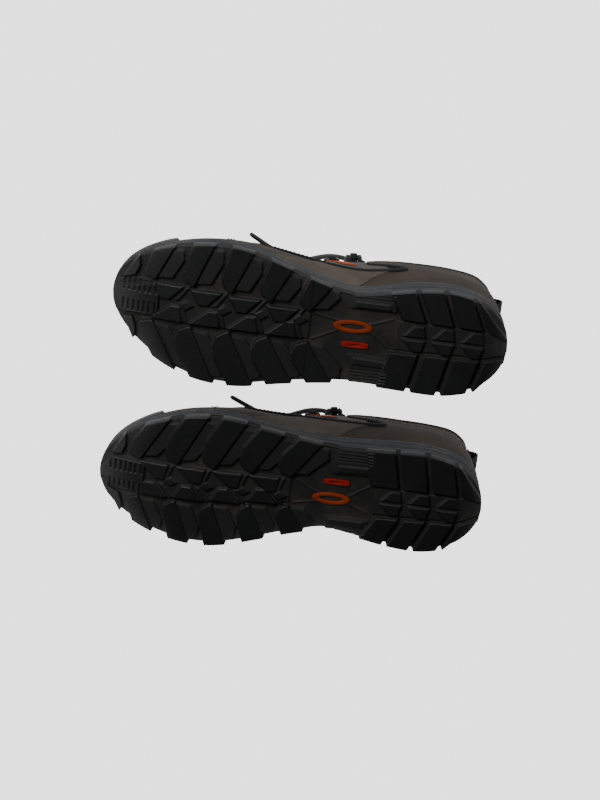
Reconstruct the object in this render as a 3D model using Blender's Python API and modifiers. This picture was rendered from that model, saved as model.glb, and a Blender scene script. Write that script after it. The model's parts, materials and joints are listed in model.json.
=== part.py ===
"""A pair of low-cut hiking boots, standing upright with their outer sides facing each other.

Each boot is worked out once, in its own sole frame (s from the heel to the toe, t towards the
inner side of the foot, z up), and placed twice: the left boot at +Y and its mirror image at -Y.
"""

import math

import bmesh
import bpy
import numpy as np
from mathutils import Matrix, Vector

# Driving dimensions, in metres -------------------------------------------------------------
LENGTH = 0.300            # outsole, heel to toe
BALL_WIDTH = 0.1095       # outsole across the ball of the foot
COLLAR_HEIGHT = 0.101     # ground to the collar's edge at the back of the heel
PAIR_SPACING = 0.134      # between the two boots' centre lines
HEEL_STACK = 0.030        # ground to the top of the midsole under the heel
BALL_STACK = 0.0215       # ground to the top of the midsole under the ball
TOE_SPRING = 0.014        # how far the toe end of the sole lifts off the ground
HEEL_BEVEL = 0.003        # how far the back edge of the heel lifts off the ground
LUG_DEPTH = 0.0045
OUTSOLE_WALL = 0.003
MIDSOLE_INSET = 0.0006    # midsole inside the outsole's edge
UPPER_INSET = 0.0042      # upper inside the outsole's edge
SKIN = 0.0016             # leather of the upper
COUNTER = 0.0013          # stiff heel cup
LINING = 0.0013
COLLAR_PAD = 0.0055
TONGUE_THICK = 0.0045
OVERLAY = 0.0012          # webbing trims and eyestays
WINDOW = 0.0006           # mesh panels
STRIPE = 0.0006
CAP = 0.0018              # rubber toe cap
BOARD = 0.0022            # lasting board
FOOTBED = 0.0045
SHANK = 0.0015
SHANK_HALF_WIDTH = 0.009
LACE_RADIUS = 0.0020
LOOP_WALL = 0.0008
LOOP_PLAY = 0.0009        # between the lace and the inside of a lace loop
LOOP_WIDTH = 0.0050
AGLET_LENGTH = 0.018
KNOT = (0.0062, 0.0078, 0.0048)  # half sizes of the knot
PULL_WIDTH = 0.016
PULL_REACH = 0.0062       # how far the heel pull stands off the heel
BADGE = 0.0010
GAP = 0.0003              # between pieces that touch
OVER = 0.0007             # under a trim that is laid over a curved panel

# The last, one row a station from the heel to the toe, in millimetres on the size below.
# Sole edge: distance from the heel, inner and outer half width. Top edge of the wall: distance,
# inner and outer half width, height. Then how far the wall rises and flares as it leaves the
# sole, and how far out and how far below the top edge it arrives from.
LAST_LENGTH, LAST_BALL, LAST_COLLAR = 300.0, 109.5, 101.0
STATIONS = (
    (0.0, 0.0, 0.0, 9.0, 0.0, 0.0, 101.0, 30, 4.0, 2.0, -22.0),
    (2.5, 14.0, 14.0, 10.5, 9.0, 9.0, 100.5, 30, 4.0, 2.0, -22.0),
    (10.0, 26.0, 26.0, 15.0, 17.0, 17.0, 98.0, 30, 4.0, 2.0, -22.0),
    (22.0, 35.0, 35.0, 26.0, 25.5, 25.5, 93.0, 30, 4.0, 2.5, -20.0),
    (45.0, 40.5, 41.0, 46.0, 31.0, 31.0, 86.5, 28, 3.0, 4.0, -18.0),
    (70.0, 39.0, 41.0, 68.0, 32.0, 32.0, 86.0, 28, 3.0, 4.0, -18.0),
    (95.0, 34.5, 40.0, 90.0, 28.5, 28.5, 95.0, 30, 3.0, 6.0, -18.0),
    (118.0, 31.5, 40.0, 110.0, 22.0, 22.0, 106.0, 32, 3.0, 8.0, -18.0),
    (142.0, 36.5, 42.5, 135.0, 18.0, 18.0, 97.0, 32, 3.0, 11.0, -11.0),
    (170.0, 46.0, 47.0, 163.0, 16.5, 14.5, 83.0, 30, 3.0, 15.0, -5.0),
    (195.0, 54.0, 52.0, 187.0, 14.0, 10.0, 72.5, 27, 3.0, 20.0, -2.0),
    (217.0, 57.0, 52.5, 205.0, 3.5, -3.5, 67.0, 24, 3.0, 28.0, 0.5),
    (240.0, 55.0, 48.5, 226.0, 5.0, -5.0, 64.0, 22, 3.0, 26.0, 1.0),
    (262.0, 49.0, 39.5, 247.0, 6.5, -6.5, 60.5, 20, 3.0, 22.0, 1.0),
    (280.0, 40.0, 27.5, 264.0, 7.5, -7.5, 57.0, 18, 3.0, 16.0, 0.5),
    (292.0, 30.0, 15.0, 275.0, 8.0, -8.0, 54.0, 16, 2.5, 11.0, 0.0),
    (298.0, 19.5, 3.5, 281.0, 8.0, -8.0, 51.5, 14, 2.0, 8.0, 0.0),
    (300.0, 8.0, -8.0, 283.0, 8.0, -8.0, 50.5, 14, 2.0, 8.0, 0.0),
)
BALL_AT, BEVEL_FROM = 215.0, 22.0   # where the ground face leaves the ground, on the same size
TOE = len(STATIONS) - 1   # the toe tip's place on the loop of stations; the heel is at 0
EYELETS = (7.4, 8.05, 8.7, 9.35, 10.03)
SCALE = np.array([LENGTH / LAST_LENGTH, BALL_WIDTH / LAST_BALL, COLLAR_HEIGHT / LAST_COLLAR])

NUBUCK = ((0.045, 0.038, 0.032), 0.85)
TAN = ((0.075, 0.063, 0.052), 0.85)
RUBBER = ((0.010, 0.011, 0.011), 0.6)
FOAM = ((0.060, 0.064, 0.068), 0.7)
BLACK = ((0.008, 0.008, 0.009), 0.8)
MESH = ((0.050, 0.048, 0.044), 0.9)
ORANGE = ((0.42, 0.075, 0.012), 0.5)
RED = ((0.32, 0.03, 0.02), 0.5)
GREY = ((0.25, 0.25, 0.24), 0.7)


# The last -----------------------------------------------------------------------------------
def loop_table():
    """The stations as a closed loop: inner side from heel to toe, then outer side back."""
    rows = np.array(STATIONS, float)
    inner = rows[:, [0, 1, 3, 4, 6, 7, 8, 9, 10]]
    outer = rows[-2:0:-1][:, [0, 2, 3, 5, 6, 7, 8, 9, 10]] * [1, -1, 1, -1, 1, 1, 1, 1, 1]
    table = np.vstack([inner, outer])
    along, across, up = SCALE
    return table * [along, across, along, across, up, up, across, across, up]


TABLE = loop_table()


def at(k):
    """The loop's values at k, positive on the inner side and negative on the outer: Catmull-Rom."""
    k = np.asarray(k, float)
    first = np.floor(k).astype(int)
    f = (k - first)[..., None]
    p0, p1, p2, p3 = (TABLE[(first + step) % len(TABLE)] for step in (-1, 0, 1, 2))
    slope = p2 - p0
    bend = 2 * p0 - 5 * p1 + 4 * p2 - p3
    twist = 3 * p1 - p0 - 3 * p2 + p3
    return p1 + 0.5 * (slope * f + bend * f**2 + twist * f**3)


def edge(k, inset=0.0):
    """The sole's outline in plan at k, moved in by inset, and its outward normal."""
    step = 0.02
    here = at(k)[..., :2]
    run = at(np.asarray(k) + step)[..., :2] - at(np.asarray(k) - step)[..., :2]
    normal = np.stack([-run[..., 1], run[..., 0]], -1)
    normal /= np.linalg.norm(normal, axis=-1, keepdims=True)
    return here - inset * normal, normal


def spring(s):
    """How far the ground face of the sole lifts at the toe and at the back of the heel."""
    ball, back = BALL_AT * SCALE[0], BEVEL_FROM * SCALE[0]
    toe = np.clip((s - ball) / (LENGTH - ball), 0, 1.1) ** 2 * TOE_SPRING
    heel = np.clip((back - s) / back, 0, 1) ** 2 * HEEL_BEVEL
    return toe + heel


def web(s):
    return LUG_DEPTH + spring(s)


def feather(s):
    """The top of the midsole, where the upper stands."""
    f = np.clip((s / SCALE[0] - 60) / 140, 0, 1)
    ease = f * f * (3 - 2 * f)
    return HEEL_STACK + (BALL_STACK - HEEL_STACK) * ease + 0.8 * spring(s)


def skin(k, v):
    """The upper's outer skin: a Bezier from the sole's edge (v 0) to the top edge (v 1)."""
    k, v = np.broadcast_arrays(np.asarray(k, float), np.asarray(v, float))
    row = at(k)
    foot, out = edge(k, UPPER_INSET)
    rise, flare, arrive, below = (row[..., i] for i in (5, 6, 7, 8))
    top = row[..., 2:5]
    base = np.concatenate([foot, (feather(foot[..., 0]) + GAP)[..., None]], -1)
    out = np.concatenate([out, np.zeros_like(out[..., :1])], -1)
    up = np.array([0, 0, 1.0])
    p1 = base + out * flare[..., None] + up * rise[..., None]
    p2 = top + out * arrive[..., None] + up * below[..., None]
    v = v[..., None]
    w = 1 - v
    return w**3 * base + 3 * w * w * v * p1 + 3 * w * v * v * p2 + v**3 * top


# Every layer of the upper bends at the same ribs and rungs, so that faceted layers stay parallel.
RIBS = (
    0.0, 1.0, 2.0, 3.0, 4.0, 5.0, 6.0, 6.7, 7.4, 8.2, 9.1,
    10.0, 10.6, 11.0, 12.0, 13.0, 14.0, 15.0, 16.0, 17.0,
)
RUNGS = np.array((0.0, 0.16, 0.34, 0.52, 0.7, 0.86, 1.0))
LOOP_RIBS = np.array([-k for k in RIBS[:0:-1]] + list(RIBS))


def skeleton():
    """The skin's points and outward normals where ribs and rungs cross."""
    k, v = LOOP_RIBS[:, None], RUNGS[None, :]
    step = 0.01
    along = skin(k + step, v) - skin(k - step, v)
    up = skin(k, np.minimum(v + step, 1)) - skin(k, np.maximum(v - step, 0))
    normal = np.cross(up, along)
    return skin(k, v), normal / np.linalg.norm(normal, axis=-1, keepdims=True)


SKIN_POINTS, SKIN_NORMALS = skeleton()


def wall(k, v, offset=0.0):
    """The faceted skin at k and v, moved out by offset."""
    k, v = np.broadcast_arrays(np.asarray(k, float), np.asarray(v, float))
    layer = SKIN_POINTS + SKIN_NORMALS * offset
    i = np.clip(np.searchsorted(LOOP_RIBS, k, side="right") - 1, 0, len(LOOP_RIBS) - 2)
    j = np.clip(np.searchsorted(RUNGS, v, side="right") - 1, 0, len(RUNGS) - 2)
    f = ((k - LOOP_RIBS[i]) / (LOOP_RIBS[i + 1] - LOOP_RIBS[i]))[..., None]
    g = ((v - RUNGS[j]) / (RUNGS[j + 1] - RUNGS[j]))[..., None]
    low = layer[i, j] * (1 - f) + layer[i + 1, j] * f
    high = layer[i, j + 1] * (1 - f) + layer[i + 1, j + 1] * f
    return low * (1 - g) + high * g


def ribs(low, high):
    """The ribs from low to high, with both ends."""
    return np.array([low, *(k for k in RIBS if low < k < high), high])


def rungs(low, high):
    return np.array([low, *(v for v in RUNGS if low < v < high), high])


def throat(k, w, offset=0.0):
    """The surface over the lacing gap at station k: w runs from -1 at the outer edge to 1 at the inner."""
    ends = {}
    for side in (-1, 1):
        ends[side] = wall(side * k, 1.0, offset), wall(side * k, 0.93, offset)
    (a, a_back), (b, b_back) = ends[-1], ends[1]
    reach = 0.36 * np.linalg.norm(b - a)
    p1 = a + (a - a_back) / np.linalg.norm(a - a_back) * reach
    p2 = b + (b - b_back) / np.linalg.norm(b - b_back) * reach
    f = (np.atleast_1d(w)[:, None] + 1) / 2
    g = 1 - f
    return g**3 * a + 3 * g * g * f * p1 + 3 * g * f * f * p2 + f**3 * b


# Placing ------------------------------------------------------------------------------------
def collection(name):
    made = bpy.data.collections.new(name)
    bpy.context.scene.collection.children.link(made)
    return made


def material(name, colour, roughness):
    made = bpy.data.materials.get(name) or bpy.data.materials.new(name)
    made.use_nodes = True
    shader = made.node_tree.nodes["Principled BSDF"]
    shader.inputs["Base Color"].default_value = (*colour, 1)
    shader.inputs["Roughness"].default_value = roughness
    return made


class Boot:
    """One boot of the pair: side is 1 for the left boot and -1 for the right."""

    def __init__(self, side, parts, helpers):
        self.side, self.parts, self.helpers = side, parts, helpers
        self.name = "left" if side > 0 else "right"

    def world(self, points):
        s, t, z = np.moveaxis(np.asarray(points, float), -1, 0)
        return np.stack([LENGTH / 2 - s, self.side * (PAIR_SPACING / 2 + t), z], -1)

    def add(self, part, mesh, look, helper=False):
        obj = bpy.data.objects.new(f"{self.name}_{part}", mesh)
        (self.helpers if helper else self.parts).objects.link(obj)
        obj.hide_render = helper
        if helper:
            obj.display_type = "WIRE"
        mesh.materials.append(material(f"{part}_{look[1]}", *look))
        return obj

    def mesh(self, part, points, faces, closed=True):
        """A mesh from points in the sole frame. Faces turn outwards on either boot."""
        made = bpy.data.meshes.new(f"{self.name}_{part}")
        faces = [f if self.side > 0 else f[::-1] for f in faces]
        made.from_pydata(self.world(points).tolist(), [], faces)
        bm = bmesh.new()
        bm.from_mesh(made)
        bmesh.ops.remove_doubles(bm, verts=bm.verts, dist=2e-5)
        bmesh.ops.dissolve_degenerate(bm, edges=bm.edges, dist=1e-6)
        if closed:
            bmesh.ops.recalc_face_normals(bm, faces=bm.faces)
        bm.to_mesh(made)
        bm.free()
        return made

    def shell(self, part, grid, thickness, look):
        """An open sheet of points, rows by columns, thickened inwards."""
        rows, columns = grid.shape[:2]
        faces = [
            (r * columns + c, (r + 1) * columns + c, (r + 1) * columns + c + 1, r * columns + c + 1)
            for r in range(rows - 1)
            for c in range(columns - 1)
        ]
        obj = self.add(part, self.mesh(part, grid.reshape(-1, 3), faces, closed=False), look)
        solidify = obj.modifiers.new("Thickness", "SOLIDIFY")
        solidify.thickness = thickness
        solidify.offset = -1
        obj.data.shade_smooth()
        return obj

    def slab(self, part, insets, heights, look):
        """A plate with the sole's outline: one ring for each inset and height, closed at both ends."""
        ks = np.concatenate([np.arange(0, TOE + 1.0), -np.arange(1.0, TOE)[::-1]])
        count = len(ks)
        rings = []
        for inset, height in zip(insets, heights):
            plan = edge(ks, inset)[0]
            rings.append(np.column_stack([plan, height(plan[:, 0])]))
        faces = []
        for ring in range(len(rings) - 1):
            for i in range(count):
                j = (i + 1) % count
                a, b = ring * count, (ring + 1) * count
                faces.append((a + i, a + j, b + j, b + i))
        last = (len(rings) - 1) * count
        for i in range(count // 2):
            j, p, q = i + 1, (count - i) % count, count - i - 1
            faces.append((i, p, q, j))
            faces.append((last + i, last + j, last + q, last + p))
        faces = [tuple(dict.fromkeys(face)) for face in faces]
        faces = [face for face in faces if len(face) > 2]
        return self.add(part, self.mesh(part, np.vstack(rings), faces), look)

    def tube(self, part, points, radius, look, closed=False, helper=False):
        """A round cord through the points, as a mesh."""
        curve = bpy.data.curves.new(part, "CURVE")
        curve.dimensions = "3D"
        curve.bevel_depth = radius
        curve.bevel_resolution = 2
        curve.use_fill_caps = True
        spline = curve.splines.new("POLY")
        spline.points.add(len(points) - 1)
        for point, place in zip(spline.points, self.world(points)):
            point.co = (*place, 1)
        spline.use_cyclic_u = closed
        guide = bpy.data.objects.new(f"{self.name}_{part}_route", curve)
        self.helpers.objects.link(guide)
        bpy.context.view_layer.update()
        made = bpy.data.meshes.new_from_object(
            guide.evaluated_get(bpy.context.evaluated_depsgraph_get())
        )
        bpy.data.objects.remove(guide)
        bm = bmesh.new()
        bm.from_mesh(made)
        bmesh.ops.remove_doubles(bm, verts=bm.verts, dist=1e-6)
        bmesh.ops.recalc_face_normals(bm, faces=bm.faces)
        bm.to_mesh(made)
        bm.free()
        obj = self.add(part, made, look, helper)
        obj.data.shade_smooth()
        return obj

    def prism(self, bm, outline, low, high):
        """An upright block in bm with this outline in plan; low and high give its faces' heights."""
        outline = np.asarray(outline, float)
        ends = []
        for height in (low, high):
            corners = np.column_stack([outline, height(outline[:, 0])])
            ends.append([bm.verts.new(p) for p in self.world(corners)])
        faces = [bm.faces.new(ends[0]), bm.faces.new(ends[1][::-1])]
        for i in range(len(outline)):
            j = (i + 1) % len(outline)
            faces.append(bm.faces.new((ends[0][i], ends[1][i], ends[1][j], ends[0][j])))
        bmesh.ops.recalc_face_normals(bm, faces=faces)


def boolean(obj, other, operation, solver="EXACT"):
    step = obj.modifiers.new(f"{operation.title()} {other.name}", "BOOLEAN")
    step.operation = operation
    step.solver = solver
    step.object = other
    if solver == "EXACT":
        step.use_self = operation == "UNION"


def mirrored(ks):
    """Places on the loop from -ks to ks through the heel."""
    ks = np.asarray(ks, float)
    return np.concatenate([-ks[:0:-1], ks]) if ks[0] == 0 else np.concatenate([-ks[::-1], ks])


def over_ridge(ks, vs, offset):
    """Rows across the toe box, from the outer foot of the wall over the ridge to the inner foot."""
    rows = []
    for k in ks:
        outer, inner = wall(-k, vs, offset), wall(k, vs, offset)
        ridge = (outer[-1] + inner[-1]) / 2
        rows.append(np.vstack([outer[:-1], [ridge], inner[-2::-1]]))
    rows = np.array(rows)
    middle = (rows[-1] + rows[-1][::-1]) / 2
    rows[-1] = middle
    return rows[:, ::-1]


def smooth_path(points, per_span):
    """Points along a Catmull-Rom curve through the given ones."""
    points = np.asarray(points, float)
    padded = np.vstack([2 * points[0] - points[1], points, 2 * points[-1] - points[-2]])
    path = []
    for i in range(len(points) - 1):
        p0, p1, p2, p3 = padded[i : i + 4]
        for f in np.arange(per_span) / per_span:
            path.append(
                0.5 * (2 * p1 + (p2 - p0) * f + (2 * p0 - 5 * p1 + 4 * p2 - p3) * f * f
                       + (3 * p1 - p0 - 3 * p2 + p3) * f**3)
            )
    path.append(points[-1])
    return np.array(path)


# The sole -----------------------------------------------------------------------------------
def half_width(s, inner):
    """The sole's edge at distance s from the heel."""
    ks = np.linspace(0, TOE, 120)
    plan = edge(ks if inner else -ks, 0.0)[0]
    return np.interp(s, plan[:, 0], plan[:, 1])


def lug_outlines():
    """Plan outlines of the tread's blocks, in metres in the sole frame."""
    along, across = SCALE[:2]
    outlines = []
    for inner in (True, False):
        sign = 1 if inner else -1
        axis = 4.0 if inner else -2.0          # the tread's middle leans to the inner side
        for i in range(5):                     # slanting side blocks of the forefoot
            s = 152 + 27.5 * i
            near = axis + sign * 19
            root = [(s + 13, near), (s - 4, near)]
            rim = [(s - 16, None), (s + 5, None)]
            outlines.append([(a, b, sign) for a, b in root + rim])
        for i in range(4):                     # nearly square blocks of the heel
            s = 12 + 21.5 * i
            near = axis * 0.3 + sign * 16
            root, rim = [(s + 7, near), (s - 7, near)], [(s - 4, None), (s + 10, None)]
            outlines.append([(a, b, sign) for a, b in root + rim])
        for i in range(4):                     # triangular blocks beside the middle line
            s = 158 + 27.5 * i
            near = axis + sign * 4
            front, back = (s + 9, near, sign), (s - 9, near + sign * 2, sign)
            outlines.append([front, back, (s - 6, near + sign * 11, sign)])
        for i in range(3):
            s = 22 + 21.5 * i
            outlines.append([(s + 7, sign * 2.5, sign), (s - 7, sign * 2.5, sign), (s, sign * 13, sign)])
        s = 104 if inner else 100              # the waist's side pad
        near = sign * 19
        pad = ((s + 16, near), (s - 14, near), (s - 9, None), (s + 12, None))
        outlines.append([(a, b, sign) for a, b in pad])
    for i in range(3):                         # climbing bars across the toe
        s = 274 + 8 * i
        reach = 16 - 4 * i
        low, high = 6 - reach, 6 + reach
        outlines.append([(s + 3, low, 1), (s - 3, low, 1), (s - 3, high, 1), (s + 3, high, 1)])
    for outline in outlines:
        yield [
            (a * along, b * across if b is not None else half_width(a * along, side > 0) - side * 0.0004)
            for a, b, side in outline
        ]


def outsole(boot):
    """Rubber plate with its tread blocks standing on it."""
    top = lambda s: web(s) + OUTSOLE_WALL
    plate = boot.slab("outsole", (0.0012, 0.0, 0.0), (web, lambda s: web(s) + 0.001, top), RUBBER)
    bm = bmesh.new()
    for outline in lug_outlines():
        boot.prism(bm, outline, spring, lambda s: web(s) + OUTSOLE_WALL * 0.5)
    blocks = bpy.data.meshes.new(f"{boot.name}_lugs")
    bm.to_mesh(blocks)
    bm.free()
    boolean(plate, boot.add("lugs", blocks, RUBBER, helper=True), "UNION")
    return plate


def shank_outline(inset):
    """Plan of the shank on the loop's order, as a long bar under the arch."""
    low, high = 40 * SCALE[0] + inset, 150 * SCALE[0] - inset
    half = SHANK_HALF_WIDTH - inset
    stops = np.linspace(low, high, 9)
    return [(s, -half) for s in stops] + [(s, half) for s in stops[::-1]]


def midsole(boot):
    """Foam block between the outsole and the upper, with a pocket for the shank."""
    low = lambda s: web(s) + OUTSOLE_WALL + GAP
    middle = lambda s: (low(s) + feather(s)) / 2
    insets = (MIDSOLE_INSET, MIDSOLE_INSET + 0.0008, MIDSOLE_INSET)
    block = boot.slab("midsole", insets, (low, middle, feather), FOAM)
    bm = bmesh.new()
    boot.prism(bm, shank_outline(-GAP), lambda s: feather(s) - SHANK - 2 * GAP, lambda s: feather(s) + 0.002)
    pocket = bpy.data.meshes.new(f"{boot.name}_pocket")
    bmesh.ops.triangulate(bm, faces=bm.faces)
    bm.to_mesh(pocket)
    bm.free()
    boolean(block, boot.add("shank_pocket", pocket, FOAM, helper=True), "DIFFERENCE")
    return block


def shank(boot):
    bm = bmesh.new()
    boot.prism(bm, shank_outline(0), lambda s: feather(s) - SHANK - GAP, lambda s: feather(s) - GAP)
    bmesh.ops.triangulate(bm, faces=bm.faces)
    plate = bpy.data.meshes.new(f"{boot.name}_shank")
    bm.to_mesh(plate)
    bm.free()
    return boot.add("shank", plate, GREY)


def board_inset():
    """Clear of the lining's inner face at the foot of the wall."""
    return UPPER_INSET + SKIN + COUNTER + LINING + 4 * GAP


def lasting_board(boot):
    low = lambda s: feather(s) + GAP
    high = lambda s: low(s) + BOARD
    return boot.slab("lasting_board", (board_inset(), board_inset()), (low, high), GREY)


def footbed(boot):
    low = lambda s: feather(s) + BOARD + 2 * GAP
    high = lambda s: low(s) + FOOTBED
    inset = board_inset() + 7 * GAP
    return boot.slab("footbed", (inset, inset + 0.0004), (low, high), BLACK)


def badges(boot):
    """Plain raised ring and bar on the bare waist of the outsole."""
    along, across = SCALE[:2]
    turn = np.linspace(0, 2 * math.pi, 25)[:-1]
    ring = np.column_stack([117 * along + 0.015 * np.cos(turn), 5.0 * across + 0.0052 * np.sin(turn)])
    hole = np.column_stack([117 * along + 0.009 * np.cos(turn), 5.0 * across + 0.0019 * np.sin(turn)])
    low, high = LUG_DEPTH - GAP - BADGE, LUG_DEPTH - GAP
    points, faces, count = [], [], len(turn)
    for plan, z in ((ring, low), (ring, high), (hole, high), (hole, low)):
        points.append(np.column_stack([plan, np.full(count, z)]))
    for band in range(4):
        for i in range(count):
            j, a, b = (i + 1) % count, band * count, (band + 1) % 4 * count
            faces.append((a + i, a + j, b + j, b + i))
    boot.add("sole_ring", boot.mesh("sole_ring", np.vstack(points), faces), ORANGE)
    bm = bmesh.new()
    s, t = 114 * along, -9.5 * across
    back, front, low_t, high_t = s - 0.0105, s + 0.0105, t - 0.0025, t + 0.0025
    bar = [(back, low_t), (front, low_t), (front, high_t), (back, high_t)]
    boot.prism(bm, bar, lambda s: low + 0 * s, lambda s: high + 0 * s)
    mesh = bpy.data.meshes.new(f"{boot.name}_sole_bar")
    bm.to_mesh(mesh)
    bm.free()
    boot.add("sole_bar", mesh, RED)


# The upper ----------------------------------------------------------------------------------
SEAM = 0.05               # half the gap left down the back of the heel, in stations
VAMP_SEAM = 0.02
THROAT_END = 10.9         # where the side panels meet the vamp


def grid(ks, vs, offset):
    return wall(np.asarray(ks, float)[:, None], np.asarray(vs, float)[None, :], offset)


def ordered(rows, side):
    """Rows that run forward on the inner side run back on the outer, so that faces turn outwards."""
    return rows if side > 0 else rows[::-1]


def quarters(boot):
    """The two side panels, which meet in a seam down the back of the heel."""
    ks = ribs(SEAM, THROAT_END)
    boot.shell("quarter_medial", grid(ks, RUNGS, 0.0), SKIN, NUBUCK)
    boot.shell("quarter_lateral", grid(-ks[::-1], RUNGS, 0.0), SKIN, NUBUCK)


def vamp(boot):
    return boot.shell("vamp", over_ridge(ribs(THROAT_END + VAMP_SEAM, TOE), RUNGS, 0.0), SKIN, NUBUCK)


def toe_cap(boot):
    """Rubber bumper round the toe, over the vamp."""
    ks = ribs(12.7, TOE)
    loop = np.concatenate([ks, -ks[-2::-1]])
    heights = np.interp(np.abs(loop), (12.7, 14.5, TOE), (0.14, 0.36, 0.56))
    vs = np.minimum(RUNGS[1:4], heights[:, None] - np.array([0.02, 0.01, 0]))
    vs = np.column_stack([np.full(len(loop), 0.03), vs])
    return boot.shell("toe_cap", wall(loop[:, None], vs, OVER + CAP), CAP, RUBBER)


def trims(boot):
    """Webbing line, mesh window and slanting stripe on each side."""
    for side, word in ((1, "medial"), (-1, "lateral")):
        ks = ribs(5.2, 12.3)
        middle = np.interp(ks, (5.2, 7.4, 10.0, 12.3), (0.39, 0.40, 0.43, 0.46))
        vs = middle[:, None] + np.array([-0.03, 0.03])
        trim = wall(side * ks[:, None], vs, OVER + OVERLAY)
        boot.shell(f"side_trim_{word}", ordered(trim, side), OVERLAY, BLACK)
        ks = ribs(6.3, 9.9)
        low = np.interp(ks, (6.3, 9.9), (0.46, 0.50))
        high = np.interp(ks, (6.3, 7.4, 9.9), (0.62, 0.76, 0.74))
        vs = np.column_stack([low, np.full(len(ks), RUNGS[3]), np.minimum(RUNGS[4], high - 0.02), high])
        window = wall(side * ks[:, None], vs, OVER + WINDOW)
        boot.shell(f"side_window_{word}", ordered(window, side), WINDOW, MESH)
        vs = np.linspace(0.53, 0.69, 3)
        ks = 7.55 + (vs - 0.53) * 3.0
        out = 2.6 * OVER + WINDOW + STRIPE
        band = np.stack([wall(side * (ks + reach), vs, out) for reach in (-0.11, 0.11)])
        boot.shell(f"side_stripe_{word}", ordered(band, side), STRIPE, ORANGE)


def heel_parts(boot):
    """Stiff counter inside the heel, and the pull loop outside it."""
    ks = mirrored(ribs(0.0, 4.2))
    boot.shell("heel_counter", grid(ks, rungs(0.03, 0.52), -SKIN - GAP), COUNTER, GREY)
    stops = ((0.50, 0), (0.58, 0), (0.66, 0), (0.74, 0.6), (0.82, 1.0), (0.89, 0.75), (0.93, 0), (0.985, 0))
    path = [wall(0.0, v, GAP + OVERLAY + reach * PULL_REACH) for v, reach in stops]
    path = smooth_path(path, 2)
    path[:, 1] = 0
    # The strap stands clear of the round heel at its edges by staying straight across.
    rows = np.stack([path + [0, PULL_WIDTH / 2 * w, 0] for w in (-1, 1)])
    boot.shell("heel_pull", rows, OVERLAY * 0.9, BLACK)


def linings(boot):
    off = -SKIN - COUNTER - 2 * GAP
    ks = mirrored(ribs(0.0, THROAT_END))
    boot.shell("quarter_lining", grid(ks, rungs(0.02, 0.985), off), LINING, GREY)
    vs = np.array((0.02, *RUNGS[1:]))
    rows = over_ridge(ribs(THROAT_END + VAMP_SEAM, TOE), vs, off - GAP)
    rows[-3:, :, 2] -= 0.5 * SKIN * np.linspace(0, 1, 3)[:, None] * (rows[-3:, :, 2] > 0.045)
    boot.shell("vamp_lining", rows, LINING, GREY)


def collar_pad(boot):
    off = -SKIN - COUNTER - LINING - 3 * GAP
    ks = mirrored(ribs(0.0, 6.0))
    return boot.shell("collar_pad", grid(ks, rungs(0.70, 0.985), off), COLLAR_PAD, BLACK)


def tongue_rows():
    """The tongue's outer face: it follows the lining beside the gap and bridges the gap between."""
    off = -SKIN - COUNTER - LINING - 5 * GAP
    rows = []
    for k in ribs(7.1, 10.7):
        left = wall(-k, np.array([0.82, 0.86, 1.0]), off)
        right = wall(k, np.array([1.0, 0.86, 0.82]), off)
        rows.append(np.vstack([left, throat(k, [-0.5, 0, 0.5], off), right]))
    top = rows[0]
    middle = top.mean(axis=0)
    for run, lift, share in ((-0.007, 0.007, 0.88), (-0.013, 0.015, 0.76), (-0.015, 0.019, 0.53)):
        rows.insert(0, middle + (top - middle) * [1, share, share] + [run, 0, lift])
    return np.array(rows)


def tongue(boot):
    rows = tongue_rows()
    return boot.shell("tongue", rows[:, ::-1], TONGUE_THICK, BLACK)


# The lacing ---------------------------------------------------------------------------------
LOOP_CENTRE = OVER + OVERLAY + LOOP_WALL * 0.5 + LOOP_PLAY + LACE_RADIUS
LOOP_V = 0.965
CROSSING_LIFT = 0.0024    # one strand over and one under the middle
STRAIGHT = LOOP_WIDTH / 2 + 0.0008   # how far each side of a loop's middle the lace runs straight
TURN = STRAIGHT + 0.0018             # and where it is already turning to cross the gap


def along_edge(k, side, distance):
    """A point distance forward of eyelet k along the throat's edge, at the lace's height."""
    ahead = wall(side * (k + 0.05), LOOP_V, LOOP_CENTRE) - wall(side * (k - 0.05), LOOP_V, LOOP_CENTRE)
    ahead[1] *= 0.2                            # loops face forward, even where the gap narrows
    ahead /= np.linalg.norm(ahead)
    return wall(side * k, LOOP_V, LOOP_CENTRE) + ahead * distance


def eyestays(boot):
    """Webbing along each side of the throat, with a loop for each turn of the lace."""
    for side, word in ((1, "medial"), (-1, "lateral")):
        ks = ribs(7.05, 10.7)
        band = wall(side * ks[:, None], np.array([0.86, 0.93, 0.985]), OVER + OVERLAY)
        strip = boot.shell(f"eyestay_{word}", ordered(band, side), OVERLAY, BLACK)
        for number, k in enumerate(EYELETS):
            a, b = along_edge(k, side, -LOOP_WIDTH / 2), along_edge(k, side, LOOP_WIDTH / 2)
            outer = LACE_RADIUS + LOOP_PLAY + LOOP_WALL
            ring = boot.tube(f"loop_{word}_{number}", [a, b], outer, BLACK, helper=True)
            reach = (b - a) * 0.2
            inside = [a - reach, b + reach]
            bore = boot.tube(f"bore_{word}_{number}", inside, outer - LOOP_WALL, BLACK, helper=True)
            boolean(strip, ring, "UNION", "MANIFOLD")
            boolean(strip, bore, "DIFFERENCE", "MANIFOLD")


BOW_LIFT = 0.0125 + 2 * LACE_RADIUS + GAP    # the bow's loops lie on the free ends


def knot_place():
    return throat(7.05, [0.0], 0.0060)[0]


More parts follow.
